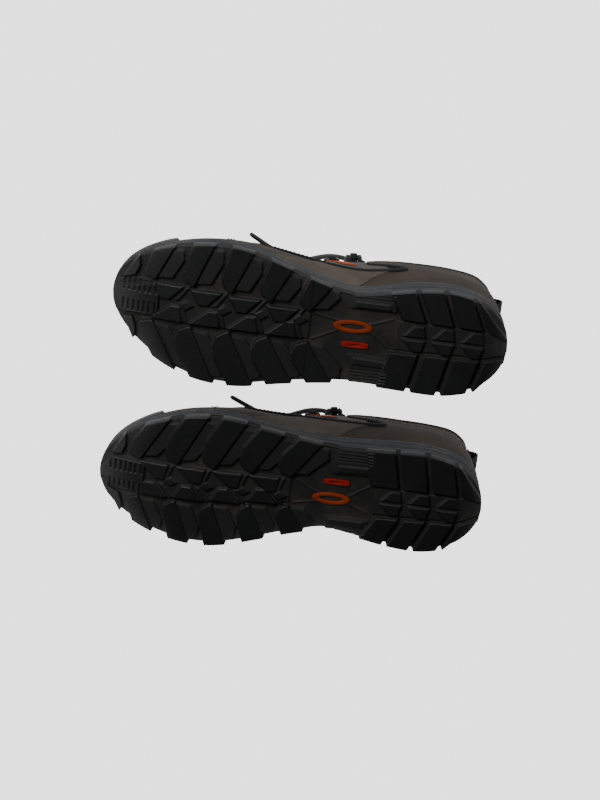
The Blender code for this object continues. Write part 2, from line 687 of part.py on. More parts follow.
def lace_points():
    """Criss-cross from the knot down to the toe and back, over at one crossing and under at the next."""
    last = len(EYELETS) - 1
    down = [(i, 1 if i % 2 else -1, 1) for i in range(last + 1)]
    stops = down + [(i, -side, -1) for i, side, _ in reversed(down)]
    points = [knot_place()]
    before = None
    for i, side, way in stops:
        k = EYELETS[i]
        if before == i:                        # the bar across the lowest pair of loops
            points += [throat(k + 0.42, [w * side], LOOP_CENTRE * 1.1)[0] for w in (-0.7, 0.0, 0.7)]
        elif before is not None:
            middle = (EYELETS[before] + k) / 2
            points.append(throat(middle, [0.0], LOOP_CENTRE * 0.6 + way * CROSSING_LIFT)[0])
        for distance in (-TURN, -STRAIGHT, STRAIGHT, TURN):
            place = along_edge(k, side, distance * way)
            if abs(distance) == TURN:
                inward = throat(k, [0.0], LOOP_CENTRE)[0] - place
                place = place + inward / np.linalg.norm(inward) * 0.0008
            points.append(place)
        before = i
    points.append(knot_place())
    return points


def bow_loop_points(side):
    """One loop of the bow, lying forward over the free ends and the lacing."""
    knot = knot_place()
    return [
        knot,
        throat(7.25, [side * 0.35], 0.0140)[0],
        throat(7.80, [side * 0.55], BOW_LIFT)[0],
        throat(8.50, [side * 0.62], BOW_LIFT)[0],
        throat(9.05, [side * 0.55], BOW_LIFT)[0],
        throat(9.10, [side * 0.34], BOW_LIFT)[0],
        throat(8.50, [side * 0.20], BOW_LIFT)[0],
        throat(7.80, [side * 0.16], BOW_LIFT)[0],
        throat(7.35, [side * 0.10], BOW_LIFT)[0],
        knot,
    ]


def lace_end_points(side):
    """From the knot forward over the lacing, out past the throat's edge and off the side."""
    return [
        throat(7.55, [side * 0.22], 0.0125)[0],
        throat(8.1, [side * 0.35], 0.0120)[0],
        throat(8.7, [side * 0.75], 0.0120)[0],
        wall(side * 9.2, 0.93, 0.0125),
        wall(side * 9.6, 0.84, 0.0125),
        wall(side * 9.9, 0.78, 0.0160),
    ]


def laces(boot):
    """The held lace with its knot and bow, and its two free ends with their tips."""
    lace = boot.tube("lace", np.array(lace_points()), LACE_RADIUS, BLACK)
    bpy.ops.mesh.primitive_uv_sphere_add(segments=12, ring_count=8, radius=1)
    knot = bpy.context.object
    ball = knot.data
    ball.transform(Matrix.LocRotScale(Vector(boot.world(knot_place())), None, Vector(KNOT)))
    bpy.data.objects.remove(knot)
    boolean(lace, boot.add("knot", ball, BLACK, helper=True), "UNION")
    for side, word in ((1, "medial"), (-1, "lateral")):
        bow = boot.tube(f"bow_{word}", smooth_path(bow_loop_points(side), 2), LACE_RADIUS, BLACK, helper=True)
        boolean(lace, bow, "UNION")
        route = smooth_path(lace_end_points(side), 2)
        boot.tube(f"lace_end_{word}", route, LACE_RADIUS, BLACK)
        heading = route[-1] - route[-2]
        heading /= np.linalg.norm(heading)
        start = route[-1] + heading * GAP
        boot.tube(f"aglet_{word}", [start, start + heading * AGLET_LENGTH], LACE_RADIUS * 0.9, BLACK)


# Building -----------------------------------------------------------------------------------
def clear_scene():
    for obj in list(bpy.data.objects):
        bpy.data.objects.remove(obj)


def build():
    clear_scene()
    parts, helpers = collection("hiking_boots"), collection("cutters")
    for side in (1, -1):
        boot = Boot(side, parts, helpers)
        for make in (outsole, midsole, shank, lasting_board, footbed, badges, quarters, vamp, toe_cap,
                     trims, heel_parts, linings, collar_pad, tongue, eyestays, laces):
            make(boot)


build()
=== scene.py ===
# %% [markdown]
# A pair of low-cut hiking boots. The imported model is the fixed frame, and every surface that is
# seen is worked out again here as a smooth grid, from the same last that the model was built on.
# %% Load the frame and measure it
import json
import math

import bpy
import numpy as np
from mathutils import Matrix
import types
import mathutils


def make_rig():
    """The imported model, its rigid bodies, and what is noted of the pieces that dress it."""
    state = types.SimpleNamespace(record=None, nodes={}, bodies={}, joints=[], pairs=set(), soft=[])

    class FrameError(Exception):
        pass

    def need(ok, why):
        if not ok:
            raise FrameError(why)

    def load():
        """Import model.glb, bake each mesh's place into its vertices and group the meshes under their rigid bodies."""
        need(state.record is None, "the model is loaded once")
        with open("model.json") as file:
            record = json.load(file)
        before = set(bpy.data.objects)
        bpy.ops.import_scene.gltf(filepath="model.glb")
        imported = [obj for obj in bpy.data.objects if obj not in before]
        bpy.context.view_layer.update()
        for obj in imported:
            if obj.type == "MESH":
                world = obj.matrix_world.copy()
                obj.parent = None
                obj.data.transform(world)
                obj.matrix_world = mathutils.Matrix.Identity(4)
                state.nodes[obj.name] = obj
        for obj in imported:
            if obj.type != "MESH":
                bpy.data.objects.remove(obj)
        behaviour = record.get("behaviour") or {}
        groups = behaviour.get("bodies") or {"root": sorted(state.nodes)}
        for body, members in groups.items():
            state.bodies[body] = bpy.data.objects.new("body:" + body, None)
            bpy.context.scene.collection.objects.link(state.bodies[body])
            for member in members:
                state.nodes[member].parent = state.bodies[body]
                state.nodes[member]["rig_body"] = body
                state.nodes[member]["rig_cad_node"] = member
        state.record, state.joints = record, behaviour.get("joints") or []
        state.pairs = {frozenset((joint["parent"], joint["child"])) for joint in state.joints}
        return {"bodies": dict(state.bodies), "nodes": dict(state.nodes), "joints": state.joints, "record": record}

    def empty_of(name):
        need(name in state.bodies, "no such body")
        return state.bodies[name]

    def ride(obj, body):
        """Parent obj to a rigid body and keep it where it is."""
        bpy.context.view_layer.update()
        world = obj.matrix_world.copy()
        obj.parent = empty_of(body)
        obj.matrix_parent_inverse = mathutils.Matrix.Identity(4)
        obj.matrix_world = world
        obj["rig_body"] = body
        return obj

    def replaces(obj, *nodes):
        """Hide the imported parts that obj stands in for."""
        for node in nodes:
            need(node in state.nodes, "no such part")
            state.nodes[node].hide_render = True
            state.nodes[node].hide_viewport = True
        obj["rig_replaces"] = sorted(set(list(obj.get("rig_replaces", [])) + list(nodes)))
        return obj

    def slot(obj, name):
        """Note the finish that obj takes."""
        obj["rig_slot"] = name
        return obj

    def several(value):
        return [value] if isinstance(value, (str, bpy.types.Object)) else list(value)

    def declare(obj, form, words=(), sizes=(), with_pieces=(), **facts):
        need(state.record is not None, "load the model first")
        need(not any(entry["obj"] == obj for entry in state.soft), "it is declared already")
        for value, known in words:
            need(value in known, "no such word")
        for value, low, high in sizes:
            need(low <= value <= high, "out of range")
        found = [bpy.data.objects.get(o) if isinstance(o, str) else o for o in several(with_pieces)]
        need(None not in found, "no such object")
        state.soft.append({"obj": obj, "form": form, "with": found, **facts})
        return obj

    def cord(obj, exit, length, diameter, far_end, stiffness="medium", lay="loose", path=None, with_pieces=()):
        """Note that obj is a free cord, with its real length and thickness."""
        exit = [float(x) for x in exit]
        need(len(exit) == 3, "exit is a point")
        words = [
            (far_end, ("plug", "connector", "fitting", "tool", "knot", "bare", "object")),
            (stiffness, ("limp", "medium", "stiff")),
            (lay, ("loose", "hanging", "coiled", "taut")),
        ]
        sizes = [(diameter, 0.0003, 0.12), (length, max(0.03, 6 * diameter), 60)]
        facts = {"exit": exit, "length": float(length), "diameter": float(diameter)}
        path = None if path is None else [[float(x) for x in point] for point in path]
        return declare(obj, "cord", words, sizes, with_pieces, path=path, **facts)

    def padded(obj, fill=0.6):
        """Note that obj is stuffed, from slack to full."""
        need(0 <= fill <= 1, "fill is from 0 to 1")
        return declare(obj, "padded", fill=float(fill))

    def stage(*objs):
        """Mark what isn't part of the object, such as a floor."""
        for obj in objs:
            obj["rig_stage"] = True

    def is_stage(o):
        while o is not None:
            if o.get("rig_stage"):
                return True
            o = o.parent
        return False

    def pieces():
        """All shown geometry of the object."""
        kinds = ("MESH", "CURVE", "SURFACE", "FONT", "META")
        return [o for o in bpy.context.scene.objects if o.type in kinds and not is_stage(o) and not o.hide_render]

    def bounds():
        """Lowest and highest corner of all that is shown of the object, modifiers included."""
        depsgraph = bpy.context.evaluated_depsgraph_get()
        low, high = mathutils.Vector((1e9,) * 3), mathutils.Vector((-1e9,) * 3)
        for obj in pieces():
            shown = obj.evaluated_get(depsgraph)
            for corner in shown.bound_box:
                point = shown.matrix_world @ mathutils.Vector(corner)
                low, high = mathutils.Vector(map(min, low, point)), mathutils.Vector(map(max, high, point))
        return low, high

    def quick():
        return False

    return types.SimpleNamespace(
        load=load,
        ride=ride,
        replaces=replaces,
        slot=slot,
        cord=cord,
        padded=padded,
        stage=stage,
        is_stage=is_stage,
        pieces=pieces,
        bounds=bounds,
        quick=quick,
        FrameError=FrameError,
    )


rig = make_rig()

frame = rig.load()
CAD_BOX = [list(map(float, corner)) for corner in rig.bounds()]
print("frame:", len(frame["nodes"]), "nodes, box", CAD_BOX)

# %% [markdown]
# The real boot is made round a last, so the last comes first. Each row is a station from the
# heel to the toe, in millimetres: the sole's edge (distance, inner and outer half width), the
# wall's top edge (distance, inner and outer half width, height), how far the wall rises and
# flares from the sole, and how far out and below the top edge it arrives from.
# %% The last
STATIONS = np.array((
    (0.0, 0.0, 0.0, 9.0, 0.0, 0.0, 101.0, 30, 4.0, 2.0, -22.0),
    (2.5, 14.0, 14.0, 10.5, 9.0, 9.0, 100.5, 30, 4.0, 2.0, -22.0),
    (10.0, 26.0, 26.0, 15.0, 17.0, 17.0, 98.0, 30, 4.0, 2.0, -22.0),
    (22.0, 35.0, 35.0, 26.0, 25.5, 25.5, 93.0, 30, 4.0, 2.5, -20.0),
    (45.0, 40.5, 41.0, 46.0, 31.0, 31.0, 86.5, 28, 3.0, 4.0, -18.0),
    (70.0, 39.0, 41.0, 68.0, 32.0, 32.0, 86.0, 28, 3.0, 4.0, -18.0),
    (95.0, 34.5, 40.0, 90.0, 28.5, 28.5, 95.0, 30, 3.0, 6.0, -18.0),
    (118.0, 31.5, 40.0, 110.0, 22.0, 22.0, 106.0, 32, 3.0, 8.0, -18.0),
    (142.0, 36.5, 42.5, 135.0, 18.0, 18.0, 97.0, 32, 3.0, 11.0, -11.0),
    (170.0, 46.0, 47.0, 163.0, 16.5, 14.5, 83.0, 30, 3.0, 15.0, -5.0),
    (195.0, 54.0, 52.0, 187.0, 14.0, 10.0, 72.5, 27, 3.0, 20.0, -2.0),
    (217.0, 57.0, 52.5, 205.0, 3.5, -3.5, 67.0, 24, 3.0, 28.0, 0.5),
    (240.0, 55.0, 48.5, 226.0, 5.0, -5.0, 64.0, 22, 3.0, 26.0, 1.0),
    (262.0, 49.0, 39.5, 247.0, 6.5, -6.5, 60.5, 20, 3.0, 22.0, 1.0),
    (280.0, 40.0, 27.5, 264.0, 7.5, -7.5, 57.0, 18, 3.0, 16.0, 0.5),
    (292.0, 30.0, 15.0, 275.0, 8.0, -8.0, 54.0, 16, 2.5, 11.0, 0.0),
    (298.0, 19.5, 3.5, 281.0, 8.0, -8.0, 51.5, 14, 2.0, 8.0, 0.0),
    (300.0, 8.0, -8.0, 283.0, 8.0, -8.0, 50.5, 14, 2.0, 8.0, 0.0),
))
TOE = len(STATIONS) - 1
LENGTH, CENTRE = 0.300, 0.067
HEEL_STACK, BALL_STACK, TOE_SPRING, HEEL_BEVEL = 0.030, 0.0215, 0.014, 0.003
BALL_AT, BEVEL_END = 0.215, 0.022  # from the heel: where the toe starts to lift, and the bevel ends
LUG, WALL, UPPER_INSET, GAP = 0.0045, 0.003, 0.0042, 0.0003
SKIN, COUNTER, LINING = 0.0016, 0.0013, 0.0013

inner = STATIONS[:, [0, 1, 3, 4, 6, 7, 8, 9, 10]]
outer = STATIONS[-2:0:-1][:, [0, 2, 3, 5, 6, 7, 8, 9, 10]] * [1, -1, 1, -1, 1, 1, 1, 1, 1]
TABLE = np.vstack([inner, outer]) / 1000


def unit(vectors):
    """Each vector at length one."""
    return vectors / np.linalg.norm(vectors, axis=-1, keepdims=True)


def spline(p0, p1, p2, p3, f):
    """Catmull-Rom from p1 to p2: the cubic that leaves each with the slope between its neighbours."""
    return p1 + 0.5 * f * (p2 - p0 + f * (2 * p0 - 5 * p1 + 4 * p2 - p3 + f * (3 * (p1 - p2) + p3 - p0)))


def along(k):
    """The loop of stations at k, by Catmull-Rom: 0 to 17 up the inner side, 0 to -17 up the outer."""
    k = np.asarray(k, float)
    first = np.floor(k).astype(int)
    f = (k - first)[..., None]
    return spline(*(TABLE[(first + ahead) % len(TABLE)] for ahead in (-1, 0, 1, 2)), f)


def edge(k, inset=0.0):
    """The sole's outline in plan, moved in along its own normal, and that normal."""
    run = along(np.asarray(k) + 0.02)[..., :2] - along(np.asarray(k) - 0.02)[..., :2]
    normal = unit(np.stack([-run[..., 1], run[..., 0]], -1))
    return along(k)[..., :2] - inset * normal, normal


def spring(s):
    """Lift off the ground: the square of the way past the ball, and of the way into the heel's bevel."""
    toe = np.clip((s - BALL_AT) / (LENGTH - BALL_AT), 0, 1.1) ** 2 * TOE_SPRING
    return toe + np.clip((BEVEL_END - s) / BEVEL_END, 0, 1) ** 2 * HEEL_BEVEL


def feather(s):
    """Height where the upper stands on the midsole: a smooth step from heel to ball, and the spring."""
    f = np.clip((s * 1000 - 60) / 140, 0, 1)
    return HEEL_STACK + (BALL_STACK - HEEL_STACK) * f * f * (3 - 2 * f) + 0.8 * spring(s)


def bare_skin(k, v):
    """A cubic Bezier up the wall at every k: from the feather edge (v 0) to the top edge (v 1)."""
    k, v = np.broadcast_arrays(np.asarray(k, float), np.asarray(v, float))
    row = along(k)
    foot, out = edge(k, UPPER_INSET)
    top = row[..., 2:5]
    base = np.concatenate([foot, (feather(foot[..., 0]) + GAP)[..., None]], -1)
    out = np.concatenate([out, np.zeros_like(out[..., :1])], -1)
    up = np.array([0, 0, 1.0])
    p1 = base + out * row[..., 6:7] + up * row[..., 5:6]
    p2 = top + out * row[..., 7:8] + up * row[..., 8:9]
    v = v[..., None]
    w = 1 - v
    return w**3 * base + 3 * w * w * v * p1 + 3 * w * v * v * p2 + v**3 * top


def skin(k, v, offset=0.0):
    """The wall's point at (k, v), moved out along its normal, the cross product of its two slopes."""
    k, v = np.broadcast_arrays(np.asarray(k, float), np.asarray(v, float))
    run = bare_skin(k + 0.01, v) - bare_skin(k - 0.01, v)
    up = bare_skin(k, np.minimum(v + 0.01, 1)) - bare_skin(k, np.maximum(v - 0.01, 0))
    return bare_skin(k, v) + unit(np.cross(up, run)) * np.asarray(offset)[..., None]


print("last:", len(TABLE), "stations round the loop; ball", np.round(bare_skin(11, 0.0), 4))

# %% [markdown]
# Every surface is a grid of points, so one helper turns a grid into a mesh. It mirrors the
# grid for the right boot, turns the faces outwards, and lays a UV map in real metres, which the
# weaves, braids and stitches follow.
# %% From grids to pieces
PIECES = {}


def place(points, side):
    """Sole frame (s from the heel, t to the inner side, z up) to the shared frame, for either boot."""
    points = np.asarray(points, float)
    s, t, z = points[..., 0], points[..., 1], points[..., 2]
    return np.stack([LENGTH / 2 - s, side * (CENTRE + t), z], -1)


def spread(rows):
    """Arc length along the rows and along the columns, averaged, for a UV map in metres."""
    u = np.linalg.norm(np.diff(rows, axis=0), axis=-1).mean(axis=1)
    v = np.linalg.norm(np.diff(rows, axis=1), axis=-1).mean(axis=0)
    u, v = np.concatenate([[0], u.cumsum()]), np.concatenate([[0], v.cumsum()])
    return np.stack(np.broadcast_arrays(u[:, None], v[None, :]), -1)


def surface(name, rows, side, look, wrap=False, thick=0.0, values=None, ends=False):
    """A mesh from a grid of points; wrap joins the last column to the first, ends caps both end rows."""
    m, n = rows.shape[:2]
    wide = np.concatenate([rows, rows[:, :1]], 1) if wrap else rows
    uv = spread(wide).reshape(-1, 2)
    ids = np.arange(m * n).reshape(m, n)
    real = np.hstack([ids, ids[:, :1]]) if wrap else ids
    corner = np.arange(wide.shape[0] * wide.shape[1]).reshape(wide.shape[:2])
    pick = lambda a: np.stack([a[:-1, :-1], a[1:, :-1], a[1:, 1:], a[:-1, 1:]], -1).reshape(-1, 4)
    faces, corners = pick(real), pick(corner)
    if side < 0:
        faces, corners = faces[:, ::-1], corners[:, ::-1]
    mesh = bpy.data.meshes.new(name)
    lists = faces.tolist()
    if ends:
        caps = [list(range(n)), list(range((m - 1) * n, m * n))[::-1]]
        lists += [cap[::-1] if side < 0 else cap for cap in caps]
    mesh.from_pydata(place(rows, side).reshape(-1, 3).tolist(), [], lists)
    layer = mesh.uv_layers.new(name="UVMap")
    flat = np.zeros((len(mesh.loops), 2))
    flat[: corners.size] = uv[corners.reshape(-1)]
    layer.data.foreach_set("uv", flat.reshape(-1))
    for key, data in (values or {}).items():
        attribute = mesh.attributes.new(key, "FLOAT", "POINT")
        attribute.data.foreach_set("value", np.asarray(data, float).reshape(-1))
    return finish_piece(name, mesh, look, thick)


def finish_piece(name, mesh, look, thick=0.0):
    """Smooth shading, a material, and a wall thickness that grows inwards."""
    mesh.polygons.foreach_set("use_smooth", [True] * len(mesh.polygons))
    obj = bpy.data.objects.new(name, mesh)
    bpy.context.scene.collection.objects.link(obj)
    mesh.materials.append(look)
    if thick:
        solidify = obj.modifiers.new("thickness", "SOLIDIFY")
        solidify.thickness = thick
        solidify.offset = -1
    PIECES[name] = obj
    return obj


def weld(obj, distance=1e-5):
    """Joins doubled points, as along a ridge or at a pole, before any wall thickness is added."""
    modifier = obj.modifiers.new("weld", "WELD")
    modifier.merge_threshold = distance
    obj.modifiers.move(len(obj.modifiers) - 1, 0)
    return obj


def stand_for(obj, boot, *nodes, slot, body=None):
    """Rides with its boot, and stands for the named nodes of the model."""
    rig.ride(obj, f"{boot}_{body or 'boot'}")
    if nodes:
        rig.replaces(obj, *[f"{boot}_{node}" for node in nodes])
    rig.slot(obj, slot)
    return obj


BOOTS = ((1, "left"), (-1, "right"))
print("helpers ready")

# %% [markdown]
# Camera first. It stands below the boots and looks up at their soles, with the toes to the left,
# a little from the right boot's side.
# %% Camera
def placing(right, up, back, at):
    """The matrix of a camera or a light: its own x, y and z axes, and where it stands."""
    axes = np.eye(4)
    axes[:3] = np.column_stack([right, up, back, at])
    return Matrix(axes.tolist())


TILT, ROLL, DISTANCE, LENS = math.radians(23), math.radians(6.7), 1.46, 85
TARGET = np.array([0.0, 0.0, 0.022])
back = np.array([0, -math.sin(TILT), -math.cos(TILT)])
right0, up0 = np.array([1.0, 0, 0]), np.array([0, -math.cos(TILT), math.sin(TILT)])
right = math.cos(ROLL) * right0 + math.sin(ROLL) * up0
up = math.cos(ROLL) * up0 - math.sin(ROLL) * right0
camera = bpy.data.objects.new("camera", bpy.data.cameras.new("camera"))
camera.data.lens = LENS
camera.data.clip_end = 20
camera.matrix_world = placing(right, up, back, TARGET + back * DISTANCE)
bpy.context.scene.collection.objects.link(camera)
bpy.context.scene.camera = camera
print("camera at", np.round(TARGET + back * DISTANCE, 3))

# %% [markdown]
# Worn leather, rubber and cloth share a few effects: a fine grain, a weave, a braid, and dust
# that gathers in low places. Each is a node group with named sockets, so every material can use
# it with its own values. The shader itself stays in the material.
# %% Node helpers
def node(tree, kind, **settings):
    made = tree.nodes.new(kind)
    for key, value in settings.items():
        setattr(made, key, value)
    return made


def feed(tree, made, **inputs):
    """Fills sockets by name, or by number as i0, i1: a socket is linked, a value is set."""
    for key, value in inputs.items():
        name = key.replace("_", " ")
        socket = made.inputs[int(key[1:])] if key[0] == "i" and key[1:].isdigit() else made.inputs[name]
        if isinstance(value, bpy.types.NodeSocket):
            tree.links.new(value, socket)
        else:
            socket.default_value = value
    return made


def math_node(tree, operation, a, b=0.0, clamp=False):
    """One sum; a MULTIPLY_ADD adds a half."""
    made = node(tree, "ShaderNodeMath", operation=operation, use_clamp=clamp)
    return feed(tree, made, i0=a, i1=b, i2=0.5).outputs[0]


def mix(tree, factor, a, b):
    made = node(tree, "ShaderNodeMix", data_type="RGBA")
    for index, value in ((0, factor), (6, a), (7, b)):
        if isinstance(value, bpy.types.NodeSocket):
            tree.links.new(value, made.inputs[index])
        else:
            made.inputs[index].default_value = value if index == 0 else (*value, 1.0)
    return made.outputs[2]


def ramp(tree, value, low, high):
    """A smooth rise from 0 at low to 1 at high."""
    made = node(tree, "ShaderNodeMapRange", interpolation_type="SMOOTHSTEP")
    return feed(tree, made, Value=value, From_Min=low, From_Max=high).outputs[0]


def new_group(name, inputs, outputs):
    group = bpy.data.node_groups.new(name, "ShaderNodeTree")
    for label, kind, default in inputs:
        socket = group.interface.new_socket(label, in_out="INPUT", socket_type=f"NodeSocket{kind}")
        socket.default_value = default
    for label, kind in outputs:
        group.interface.new_socket(label, in_out="OUTPUT", socket_type=f"NodeSocket{kind}")
    return group, group.nodes.new("NodeGroupInput").outputs, group.nodes.new("NodeGroupOutput")


def noise(tree, scale, detail, rough=0.55):
    made = node(tree, "ShaderNodeTexNoise")
    spot = node(tree, "ShaderNodeTexCoord").outputs["Object"]
    return feed(tree, made, Vector=spot, Scale=scale, Detail=detail, Roughness=rough).outputs[0]


def bumped(tree, strength, distance, height):
    made = node(tree, "ShaderNodeBump")
    return feed(tree, made, Strength=strength, Distance=distance, Height=height).outputs[0]


def uv_waves(tree, u_per_m, v_per_m, slant=False):
    """Two sine values, along the piece and across it, from its own UV map in metres."""
    uv = node(tree, "ShaderNodeTexCoord").outputs["UV"]
    parts = feed(tree, node(tree, "ShaderNodeSeparateXYZ"), Vector=uv).outputs
    u = math_node(tree, "MULTIPLY", parts[0], u_per_m)
    v = math_node(tree, "MULTIPLY", parts[1], v_per_m)
    if slant:
        u, v = math_node(tree, "ADD", u, v), math_node(tree, "SUBTRACT", u, v)
    turn = 2 * math.pi
    return [math_node(tree, "SINE", math_node(tree, "MULTIPLY", way, turn)) for way in (u, v)]


print("node helpers ready")

# %% [markdown]
# The shared effects: a two-scale grain, a weave and a braid that follow the UV map in metres, and
# dust, as patches in the low places with a few specks anywhere.
# %% Shared effects
GRAIN, into, out = new_group(
    "fine_grain",
    [("Size", "Float", 900.0), ("Depth", "Float", 0.2), ("Blotch", "Float", 30.0)],
    [("Shade", "Float"), ("Normal", "Vector")],
)
fine = noise(GRAIN, into["Size"], 3.0)
wide = noise(GRAIN, into["Blotch"], 5.0)
fine_part, wide_part = math_node(GRAIN, "MULTIPLY", fine, 0.45), math_node(GRAIN, "MULTIPLY", wide, 0.55)
shade = math_node(GRAIN, "ADD", fine_part, wide_part)
feed(GRAIN, out, Shade=shade, Normal=bumped(GRAIN, into["Depth"], 0.0006, fine))

WEAVE, into, out = new_group(
    "woven_threads",
    [("Along", "Float", 700.0), ("Across", "Float", 700.0), ("Depth", "Float", 0.5)],
    [("Thread", "Float"), ("Normal", "Vector")],
)
one, two = uv_waves(WEAVE, into["Along"], into["Across"])
thread = math_node(WEAVE, "MULTIPLY_ADD", math_node(WEAVE, "MULTIPLY", one, two), 0.5)
feed(WEAVE, out, Thread=thread, Normal=bumped(WEAVE, into["Depth"], 0.0004, thread))

BRAID, into, out = new_group(
    "round_braid",
    [("Along", "Float", 300.0), ("Around", "Float", 320.0)],
    [("Strand", "Float"), ("Normal", "Vector")],
)
one, two = uv_waves(BRAID, into["Along"], into["Around"], slant=True)
strand = math_node(BRAID, "MULTIPLY_ADD", math_node(BRAID, "MAXIMUM", one, two), 0.5)
feed(BRAID, out, Strand=strand, Normal=bumped(BRAID, 0.9, 0.0005, strand))

DUST, into, out = new_group(
    "settled_dust",
    [("Low places", "Float", 0.0), ("Amount", "Float", 0.5), ("Patch", "Float", 55.0)],
    [("Mask", "Float")],
)
patches = ramp(DUST, noise(DUST, into["Patch"], 6.0, rough=0.65), 0.42, 0.66)
specks = ramp(DUST, noise(DUST, 700.0, 2.0), 0.60, 0.72)
low = math_node(DUST, "MULTIPLY", into["Low places"], patches)
both = math_node(DUST, "ADD", low, math_node(DUST, "MULTIPLY", specks, 0.25))
feed(DUST, out, Mask=math_node(DUST, "MULTIPLY", both, into["Amount"], clamp=True))
print("groups:", [group.name for group in bpy.data.node_groups])

# %% [markdown]
# One material for each kind of stuff: brown-grey and tan nubuck, two rubbers, foam, webbing, mesh,
# knit, braid and thread. Each is two tones of its own, blended by one of the shared effects.
# %% Materials
LOOKS = {}
PALE_DUST, BROWN_DUST = (0.09, 0.078, 0.062), (0.060, 0.052, 0.038)


def look(name, build, rough, **settings):
    """A Principled material; build wires its changing inputs."""
    material = bpy.data.materials.new(name)
    material.use_nodes = True
    tree = material.node_tree
    shader = tree.nodes["Principled BSDF"]
    feed(tree, shader, Roughness=rough, **settings)
    build(tree, shader)
    LOOKS[name] = material
    return material


def use(tree, group, **inputs):
    made = node(tree, "ShaderNodeGroup", node_tree=group)
    return feed(tree, made, **inputs).outputs


def attribute(tree, name):
    return node(tree, "ShaderNodeAttribute", attribute_name=name).outputs["Fac"]


def grained(dark, light, size, depth, blotch, dust=0.0):
    """Leather, rubber or foam: two tones blended by the grain, and a little dust."""
    def build(tree, shader):
        grain = use(tree, GRAIN, Size=size, Depth=depth, Blotch=blotch)
        colour = mix(tree, ramp(tree, grain["Shade"], 0.30, 0.70), dark, light)
        if dust:
            mask = use(tree, DUST, Low_places=0.6, Amount=dust)["Mask"]
            colour = mix(tree, mask, colour, PALE_DUST)
        feed(tree, shader, Base_Color=colour, Normal=grain["Normal"])
    return build


def tread(tree, shader):
    """Black rubber, polished where it meets the ground, matt and dusty in its recesses."""
    grain = use(tree, GRAIN, Size=1300.0, Depth=0.35, Blotch=26.0)
    deep = attribute(tree, "recess")
    shade = grain["Shade"]
    face = mix(tree, ramp(tree, shade, 0.32, 0.7), (0.0045, 0.0048, 0.005), (0.0105, 0.011, 0.0115))
    floor = mix(tree, ramp(tree, shade, 0.3, 0.7), (0.0042, 0.0043, 0.0043), (0.0105, 0.0102, 0.0098))
    colour = mix(tree, ramp(tree, deep, 0.15, 0.8), face, floor)
    mask = use(tree, DUST, Low_places=ramp(tree, deep, 0.25, 0.95), Amount=0.34, Patch=34.0)["Mask"]
    colour = mix(tree, mask, colour, BROWN_DUST)
    rough = math_node(tree, "MULTIPLY_ADD", ramp(tree, deep, 0.0, 0.6), 0.28)
    feed(tree, shader, Base_Color=colour, Roughness=rough, Normal=grain["Normal"])


def woven(dark, light, along_m, across_m, depth):
    """Cloth: dark and light by the weave, with this many threads to the metre each way."""
    def build(tree, shader):
        threads = use(tree, WEAVE, Along=along_m, Across=across_m, Depth=depth)
        grain = use(tree, GRAIN, Size=500.0, Depth=0.1, Blotch=40.0)
        colour = mix(tree, threads["Thread"], dark, light)
        colour = mix(tree, math_node(tree, "MULTIPLY", grain["Shade"], 0.35), colour, dark)
        feed(tree, shader, Base_Color=colour, Normal=threads["Normal"])
    return build


def braided(tree, shader):
    strands = use(tree, BRAID, Along=330.0, Around=320.0)
    colour = mix(tree, strands["Strand"], (0.004, 0.004, 0.004), (0.030, 0.030, 0.032))
    feed(tree, shader, Base_Color=colour, Normal=strands["Normal"])


SUEDE = dict(Sheen_Weight=0.03, Sheen_Roughness=0.4, Specular_IOR_Level=0.22)
MATT = dict(Specular_IOR_Level=0.2)
NUBUCK = look("brown_grey_nubuck",
    grained((0.022, 0.0155, 0.0115), (0.048, 0.0355, 0.027), 1500.0, 0.35, 22.0, 0.18), 0.9, **SUEDE)
TAN = look("tan_nubuck",
    grained((0.040, 0.031, 0.024), (0.080, 0.064, 0.050), 1500.0, 0.35, 26.0, 0.18), 0.9, **SUEDE)
RUBBER = look("tread_rubber", tread, 0.6)
TOE_RUBBER = look("toe_rubber",
    grained((0.005, 0.005, 0.0055), (0.011, 0.011, 0.0115), 1100.0, 0.3, 30.0, 0.45), 0.62)
FOAM = look("midsole_foam",
    grained((0.024, 0.026, 0.030), (0.046, 0.050, 0.056), 800.0, 0.3, 35.0, 0.4), 0.8, **MATT)
WEBBING = look("black_webbing",
    woven((0.003, 0.003, 0.003), (0.020, 0.020, 0.021), 900.0, 450.0, 0.8), 0.85, **SUEDE)
MESH = look("light_mesh", woven((0.020, 0.019, 0.017), (0.120, 0.112, 0.100), 420.0, 420.0, 1.0), 0.9)
ORANGE = look("orange_film",
    grained((0.17, 0.022, 0.004), (0.28, 0.042, 0.007), 700.0, 0.15, 40.0, 0.12), 0.6, **MATT)
RED = look("red_rubber",
    grained((0.20, 0.006, 0.004), (0.30, 0.012, 0.008), 700.0, 0.15, 40.0, 0.12), 0.6, **MATT)
KNIT = look("black_knit",
    woven((0.004, 0.004, 0.004), (0.032, 0.032, 0.034), 620.0, 620.0, 0.9), 0.9, **SUEDE)
INSOLE = look("footbed_cloth", woven((0.012, 0.012, 0.013), (0.045, 0.045, 0.048), 750.0, 750.0, 0.6), 0.9)
LACE = look("black_braid", braided, 0.7, Sheen_Weight=0.3)
TIP = look("tip_plastic",
    grained((0.006, 0.006, 0.006), (0.011, 0.011, 0.011), 900.0, 0.1, 50.0), 0.3, Coat_Weight=0.3)
THREAD = look("sewing_thread",
    woven((0.030, 0.025, 0.020), (0.110, 0.092, 0.075), 3000.0, 3000.0, 0.6), 0.8)
DARK_THREAD = look("dark_thread",
    woven((0.005, 0.005, 0.005), (0.030, 0.030, 0.030), 3000.0, 3000.0, 0.6), 0.8)
BOARD = look("pale_fibreboard", grained((0.22, 0.21, 0.19), (0.32, 0.31, 0.28), 900.0, 0.3, 60.0), 0.85)
print("materials:", ", ".join(LOOKS))

